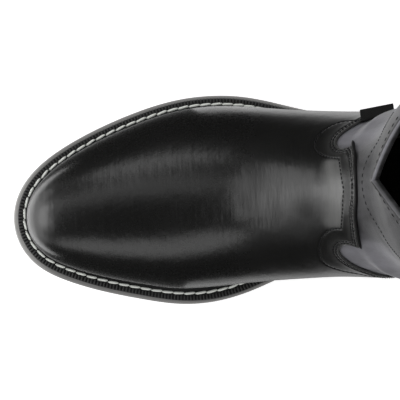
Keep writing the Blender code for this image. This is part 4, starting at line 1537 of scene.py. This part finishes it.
class BOOT_OT_shaft(bpy.types.Operator):
    """Shaft and its lining, one hollow wall down to the sole, with its stitch rows."""

    bl_idname = "boot.shaft"
    bl_label = "Shaft"

    def execute(self, context):
        section = np.concatenate((np.linspace(0.0, 0.55, 28)[:-1], np.linspace(0.55, HEEL, 62)[:-1],
                                  np.linspace(HEEL, COLLAR, 96)))
        across = np.linspace(0.0, 1.0, 72)
        turn = np.concatenate((across, 2.0 - across[::-1][1:]))
        section, turn = np.meshgrid(section, turn, indexing="ij")
        ids = np.arange(section.size).reshape(section.shape)
        ids[0, :] = np.minimum(ids[0, :], ids[0, ::-1])
        back = section[:, 0] >= HEEL
        ids[back, -1] = ids[back, 0]
        points = outside(section, turn)
        flat = points.reshape(-1, 3)
        rows = self.rows()
        lift = self.lift(section.ravel(), turn.ravel())
        for row in rows:
            lift += groove(flat, outside(*row), 0.06, 0.6)
        made, faces, outer = shell(points, ids, -SKIN - WALL, lift.reshape(section.shape), 0.0)
        leathers = (look("shaft_leather"), look("boot_lining"))
        wall = piece("boot_shaft", made, faces, leathers, None, "shaft_leather", ("upper",))
        kinds = np.zeros(len(wall.data.polygons), np.int32)
        kinds[outer:2 * outer] = 1
        wall.data.polygons.foreach_set("material_index", kinds)
        around = turn.ravel()[merged(ids)[1]]
        # Painted shade: the front of the shaft is painted darker than its sides.
        paint(wall, "front", window(SHAFT_FRONT_SHADE, around))
        stitch = size("fine_stitch")
        pitch = stitch * 1.65
        places = [row_places(*row, pitch, self.lift(*even_path(*row, pitch))[:, None]) for row in rows]
        bars("shaft_stitches", places, stitch * 0.85, size("fine_thread"), look("black_thread"),
             "shaft_leather", sink=0.2, spread=3.0, seed=5)
        return {"FINISHED"}

    def lift(self, section, turn):
        """How far the leather stands off the boot's outside: folds, slow waves and the slouch."""
        points = outside(section, turn)
        waves = trough(points, crease_paths(FOLDS)) + uneven(points, 60.0, 0.5, 1.7)
        shown = smoothstep(0.7, 0.95, section) * smoothstep(COLLAR, 1.9, section)
        return np.clip(waves, -1.2, 0.5) * shown - SKIN + self.slouch(section, turn)

    @staticmethod
    def slouch(section, turn):
        """Bulge of the ankle over the wings on both sides, with the leather raised beside the vamp."""
        across = 1.0 - np.abs(turn - 1.0)
        bulge = window(SLOUCH_UP, section) * window(SLOUCH_ACROSS, across)
        beside = window(BESIDE_UP, section) * smoothstep(*BESIDE_ACROSS, across)
        return size("slouch") * bulge + BESIDE_RISE * beside

    @staticmethod
    def rows():
        turn = np.linspace(0.0, 2.0, 400)
        rows = [smooth_path(SHAFT_ROW), (np.full(len(turn), COLLAR_ROW), turn)]
        up = np.linspace(*SEAM_UP, 300)
        for start, end in SEAM_TURNS:
            middle = start + (end - start) * smoothstep(SIDE_SEAM, HEEL, up)
            rows += [(up, middle - SEAM_HALF), (up, middle + SEAM_HALF)]
        return rows


class BOOT_OT_counter(bpy.types.Operator):
    """Heel counter with two stitch rows along its top edge."""

    bl_idname = "boot.counter"
    bl_label = "Heel counter"

    def execute(self, context):
        start, step_section, step_turn = self.rays()
        reach = self.reach(start, step_section, step_turn)

        def along(share):
            return start + step_section * reach * share, self.turned(step_turn * reach * share)

        section, turn = along(np.linspace(0.0, 1.0, 46)[:, None])
        points = outside(section, turn)
        ids = np.arange(section.size).reshape(section.shape)
        flat = points.reshape(-1, 3)
        tall = np.linalg.norm(np.diff(points, axis=0), axis=2).sum(axis=0)
        rows = [along(np.clip(1.0 - distance / tall, 0.0, 1.0)) for distance in COUNTER_ROWS]
        lift = uneven(flat, 40.0, 0.2, 2.3)
        for row in rows:
            lift += groove(flat, outside(*row), 0.18, 0.75)
        made, faces, _ = shell(points, ids, -OVERLAY_THICK, lift.reshape(section.shape), 0.3)
        piece("boot_counter", made, faces, look("counter_leather"), None, "upper_leather", ("counter",))
        pitch = size("fine_stitch")
        half = len(start) // 2
        places = [row_places(row[0][part], row[1][part], pitch, 0.0)
                  for row in rows for part in (slice(0, half), slice(half, None))]
        bars("counter_stitches", places, pitch * 0.78, size("fine_thread"), look("black_thread"),
             "upper_leather", sink=0.25, spread=4.0, seed=9)
        return {"FINISHED"}

    @staticmethod
    def turned(across):
        """Turns of the columns, whose first half is lateral, from their shares across."""
        count = across.shape[-1]
        return np.where(np.arange(count) < count // 2, across, 2.0 - across)

    @staticmethod
    def rays():
        """Start and direction of the columns, from the lateral seam round the heel to the medial seam."""
        share = np.linspace(0.0, 1.0, 110)
        first = SIDE_SEAM + SEAM_GAP
        start = first + (HEEL - first) * share ** 0.85
        angle = np.pi / 2.0 * smoothstep(0.35, 1.0, share)
        return [np.concatenate((part, part[::-1][1:])) for part in (start, np.sin(angle), np.cos(angle))]

    def reach(self, start, step_section, step_turn):
        """How far each column runs before it meets the counter's top edge in side view."""
        top_at = spline(COUNTER_TOP)
        low = np.zeros(len(start))
        high = np.full(len(start), 0.5)
        for _ in range(24):
            middle = (low + high) / 2.0
            spot = outside(start + step_section * middle, self.turned(step_turn * middle))
            over = spot[:, 2] > top_at(spot[:, 0] + LENGTH / 2.0)[:, 0]
            high = np.where(over, middle, high)
            low = np.where(over, low, middle)
        return low


class BOOT_OT_collar(bpy.types.Operator):
    """Bound collar edge."""

    bl_idname = "boot.collar"
    bl_label = "Collar"

    def execute(self, context):
        turn = np.linspace(0.0, 2.0, 241)[:-1]
        rim = outside(np.full(len(turn), COLLAR), turn)
        ahead = np.roll(rim, -1, axis=0) - np.roll(rim, 1, axis=0)
        outward = unit(np.column_stack((ahead[:, 1], -ahead[:, 0], np.zeros(len(rim)))))
        if np.sum(outward[:, :2] * (rim[:, :2] - rim[:, :2].mean(axis=0))) < 0.0:
            outward = -outward
        path = rim - outward * (SKIN + WALL / 2.0)
        path[:, 2] += BINDING_RADIUS - BINDING_LAP
        angles = np.arange(28) * 2.0 * np.pi / 28
        upward = np.array((0.0, 0.0, 1.0))
        points = np.stack(
            [path + BINDING_RADIUS * (np.cos(a) * outward + np.sin(a) * upward) for a in angles])
        ids = np.arange(points.shape[0] * points.shape[1]).reshape(points.shape[:2])
        ids = np.pad(ids, ((0, 1), (0, 1)), mode="wrap")
        bead = piece("boot_collar", points.reshape(-1, 3), faces_of(ids), look("collar_leather"), None,
                     "shaft_leather", ("collar_binding",))
        # Painted highlight on the top of the bead, dimmed on the medial half; elsewhere the second colour
        # gives painted shade and the turned-in lining.
        light = window(BEAD_LIGHT, np.degrees(angles))[:, None] * (1.0 - 0.6 * smoothstep(0.98, 1.02, turn))
        paint(bead, "turned", 1.0 - light.ravel())
        return {"FINISHED"}


class BOOT_OT_tab(bpy.types.Operator):
    """Woven tab in the lateral side."""

    bl_idname = "boot.tab"
    bl_label = "Side tab"

    def execute(self, context):
        edges = []
        for section, turn, out, drop in TAB_EDGE:
            root = outside(section, turn) + np.array((0.0, TAB_STAND_OFF, TAB_STAND_OFF))
            edges.append((root, root + np.array((0.0, out, -drop))))
        across = np.linspace(0.0, 1.0, 13)[:, None, None]
        down = np.linspace(0.0, 1.0, 9)[:, None]
        root, tip = (fore * (1.0 - across) + aft * across for fore, aft in zip(*edges))
        grid = root + (tip - root) * down
        ids = np.arange(grid.shape[0] * grid.shape[1]).reshape(grid.shape[:2])
        made, faces, _ = shell(grid, ids, 0.0, TAB_THICK, 0.25)
        tab = piece("boot_side_tab", made, faces, look("tab_weave"), None, "tab_fabric", ("side_tab",))
        layer = tab.data.uv_layers.new(name="tape")
        spots = made[[loop.vertex_index for loop in tab.data.loops]]
        flat = np.column_stack((spots[:, 0], spots[:, 2] - spots[:, 1]))
        layer.data.foreach_set("uv", ((flat - flat[0]) * WEAVE_SCALE).astype(np.float32).ravel())
        return {"FINISHED"}


class BOOT_OT_stage(bpy.types.Operator):
    """Pale floor, soft lights and the camera over the boot."""

    bl_idname = "boot.stage"
    bl_label = "Stage"

    # Soft lights: name, place, aim, width, height, glow
    LIGHTS = (
        ("front_low", (-0.85, 0.0, 0.15), (0.0, 0.0, 0.15), 1.3, 0.34, 1.6),
        ("front_high", (-0.8, 0.0, 0.42), (-0.06, 0.0, 0.07), 0.8, 0.22, 1.15),
        ("lateral_box", (-0.402, 0.674, 0.831), (-0.012, -0.046, 0.121), 0.4, 0.91, 1.5),
        ("lateral_front", (-0.66, 0.34, 0.83), (-0.1, 0.02, 0.06), 0.34, 0.32, 0.6),
        ("medial_box", (-0.5, -0.78, 0.5), (-0.06, 0.0, 0.05), 0.45, 0.45, 1.2),
        ("toe_card", (-0.302, 0.0, 0.004), (-0.302, 0.0, 1.0), 0.28, 0.18, 2.4),
        ("toe_fill", (-0.196, 0.0, 0.082), (-0.135, 0.0, 0.045), 0.06, 0.04, 2.1),
        ("lateral_card", (0.019, 0.071, 0.004), (0.019, 0.071, 1.0), 0.152, 0.03, 0.85),
        ("medial_card", (0.015, -0.071, 0.004), (0.015, -0.071, 1.0), 0.16, 0.03, 0.5),
    )
    SKY = 0.85
    LENS = 184.4
    SENSOR = 36.0
    EYE = (-0.0537, 0.0, 1.1)
    EYE_ROLL = -2.5

    def execute(self, context):
        scene = context.scene
        floor = bpy.data.meshes.new("floor")
        floor.from_pydata([(x, y, 0.0) for x, y in ((-6, -6), (6, -6), (6, 6), (-6, 6))], [], [(0, 1, 2, 3)])
        ground = bpy.data.objects.new("floor", floor)
        scene.collection.objects.link(ground)
        paper = Finish("pale_floor")
        paper.set(Base_Color=paper.mixed(paper.noise(3.0), (0.93, 0.93, 0.93), (0.95, 0.95, 0.95)))
        paper.set(Roughness=0.9, Emission_Color=(1.0, 1.0, 1.0, 1.0), Emission_Strength=0.5)
        floor.materials.append(paper.material)
        ground.visible_glossy = False
        for name, place, aim, width, height, glow in self.LIGHTS:
            light = bpy.data.lights.new(name, "AREA")
            light.shape = "RECTANGLE"
            light.size = width
            light.size_y = height
            light.energy = glow * np.pi * width * height
            lamp = bpy.data.objects.new(name, light)
            lamp.location = place
            lamp.rotation_euler = aimed(np.array(aim) - np.array(place))
            lamp.visible_camera = False
            scene.collection.objects.link(lamp)
        world = bpy.data.worlds.new("studio")
        scene.world = world
        world.use_nodes = True
        sky = world.node_tree.nodes["Background"]
        sky.inputs["Color"].default_value = (1.0, 1.0, 1.0, 1.0)
        sky.inputs["Strength"].default_value = self.SKY
        world.cycles_visibility.glossy = False
        scene.view_settings.view_transform = "Standard"
        lens = bpy.data.cameras.new("camera")
        lens.lens = self.LENS
        lens.sensor_width = self.SENSOR
        eye = bpy.data.objects.new("camera", lens)
        eye.location = self.EYE
        eye.rotation_euler = (0.0, 0.0, np.radians(self.EYE_ROLL))
        scene.collection.objects.link(eye)
        scene.camera = eye
        return {"FINISHED"}


def aimed(toward):
    """Rotation that points a light's own -Z along a direction."""
    if np.hypot(*toward[:2]) < 1e-6:
        return np.pi, 0.0, 0.0
    return Vector(toward.tolist()).to_track_quat("-Z", "Y").to_euler()


class BOOT_PT_panel(bpy.types.Panel):
    """Buttons for each piece of the boot, with its sizes and colours."""

    bl_idname = "BOOT_PT_panel"
    bl_label = "Roper boot"
    bl_space_type = "VIEW_3D"
    bl_region_type = "UI"
    bl_category = "Boot"

    def draw(self, context):
        for group in (context.scene.boot_sizes, context.scene.boot_colours):
            for name in group.__annotations__:
                self.layout.prop(group, name)
        for step in STEPS:
            self.layout.operator(step.bl_idname)


STEPS = (BOOT_OT_stage, BOOT_OT_sole, BOOT_OT_welt, BOOT_OT_shaft, BOOT_OT_vamp, BOOT_OT_counter,
         BOOT_OT_collar, BOOT_OT_tab)
CLASSES = (BootSizes, BootColours) + STEPS + (BOOT_PT_panel,)


def register():
    for item in CLASSES:
        bpy.utils.register_class(item)
    bpy.types.Scene.boot_sizes = bpy.props.PointerProperty(type=BootSizes)
    bpy.types.Scene.boot_colours = bpy.props.PointerProperty(type=BootColours)


def unregister():
    del bpy.types.Scene.boot_colours
    del bpy.types.Scene.boot_sizes
    for item in reversed(CLASSES):
        bpy.utils.unregister_class(item)


def main():
    register()
    for step in STEPS:
        group, action = step.bl_idname.split(".")
        getattr(getattr(bpy.ops, group), action)()


if __name__ == "__main__":
    main()
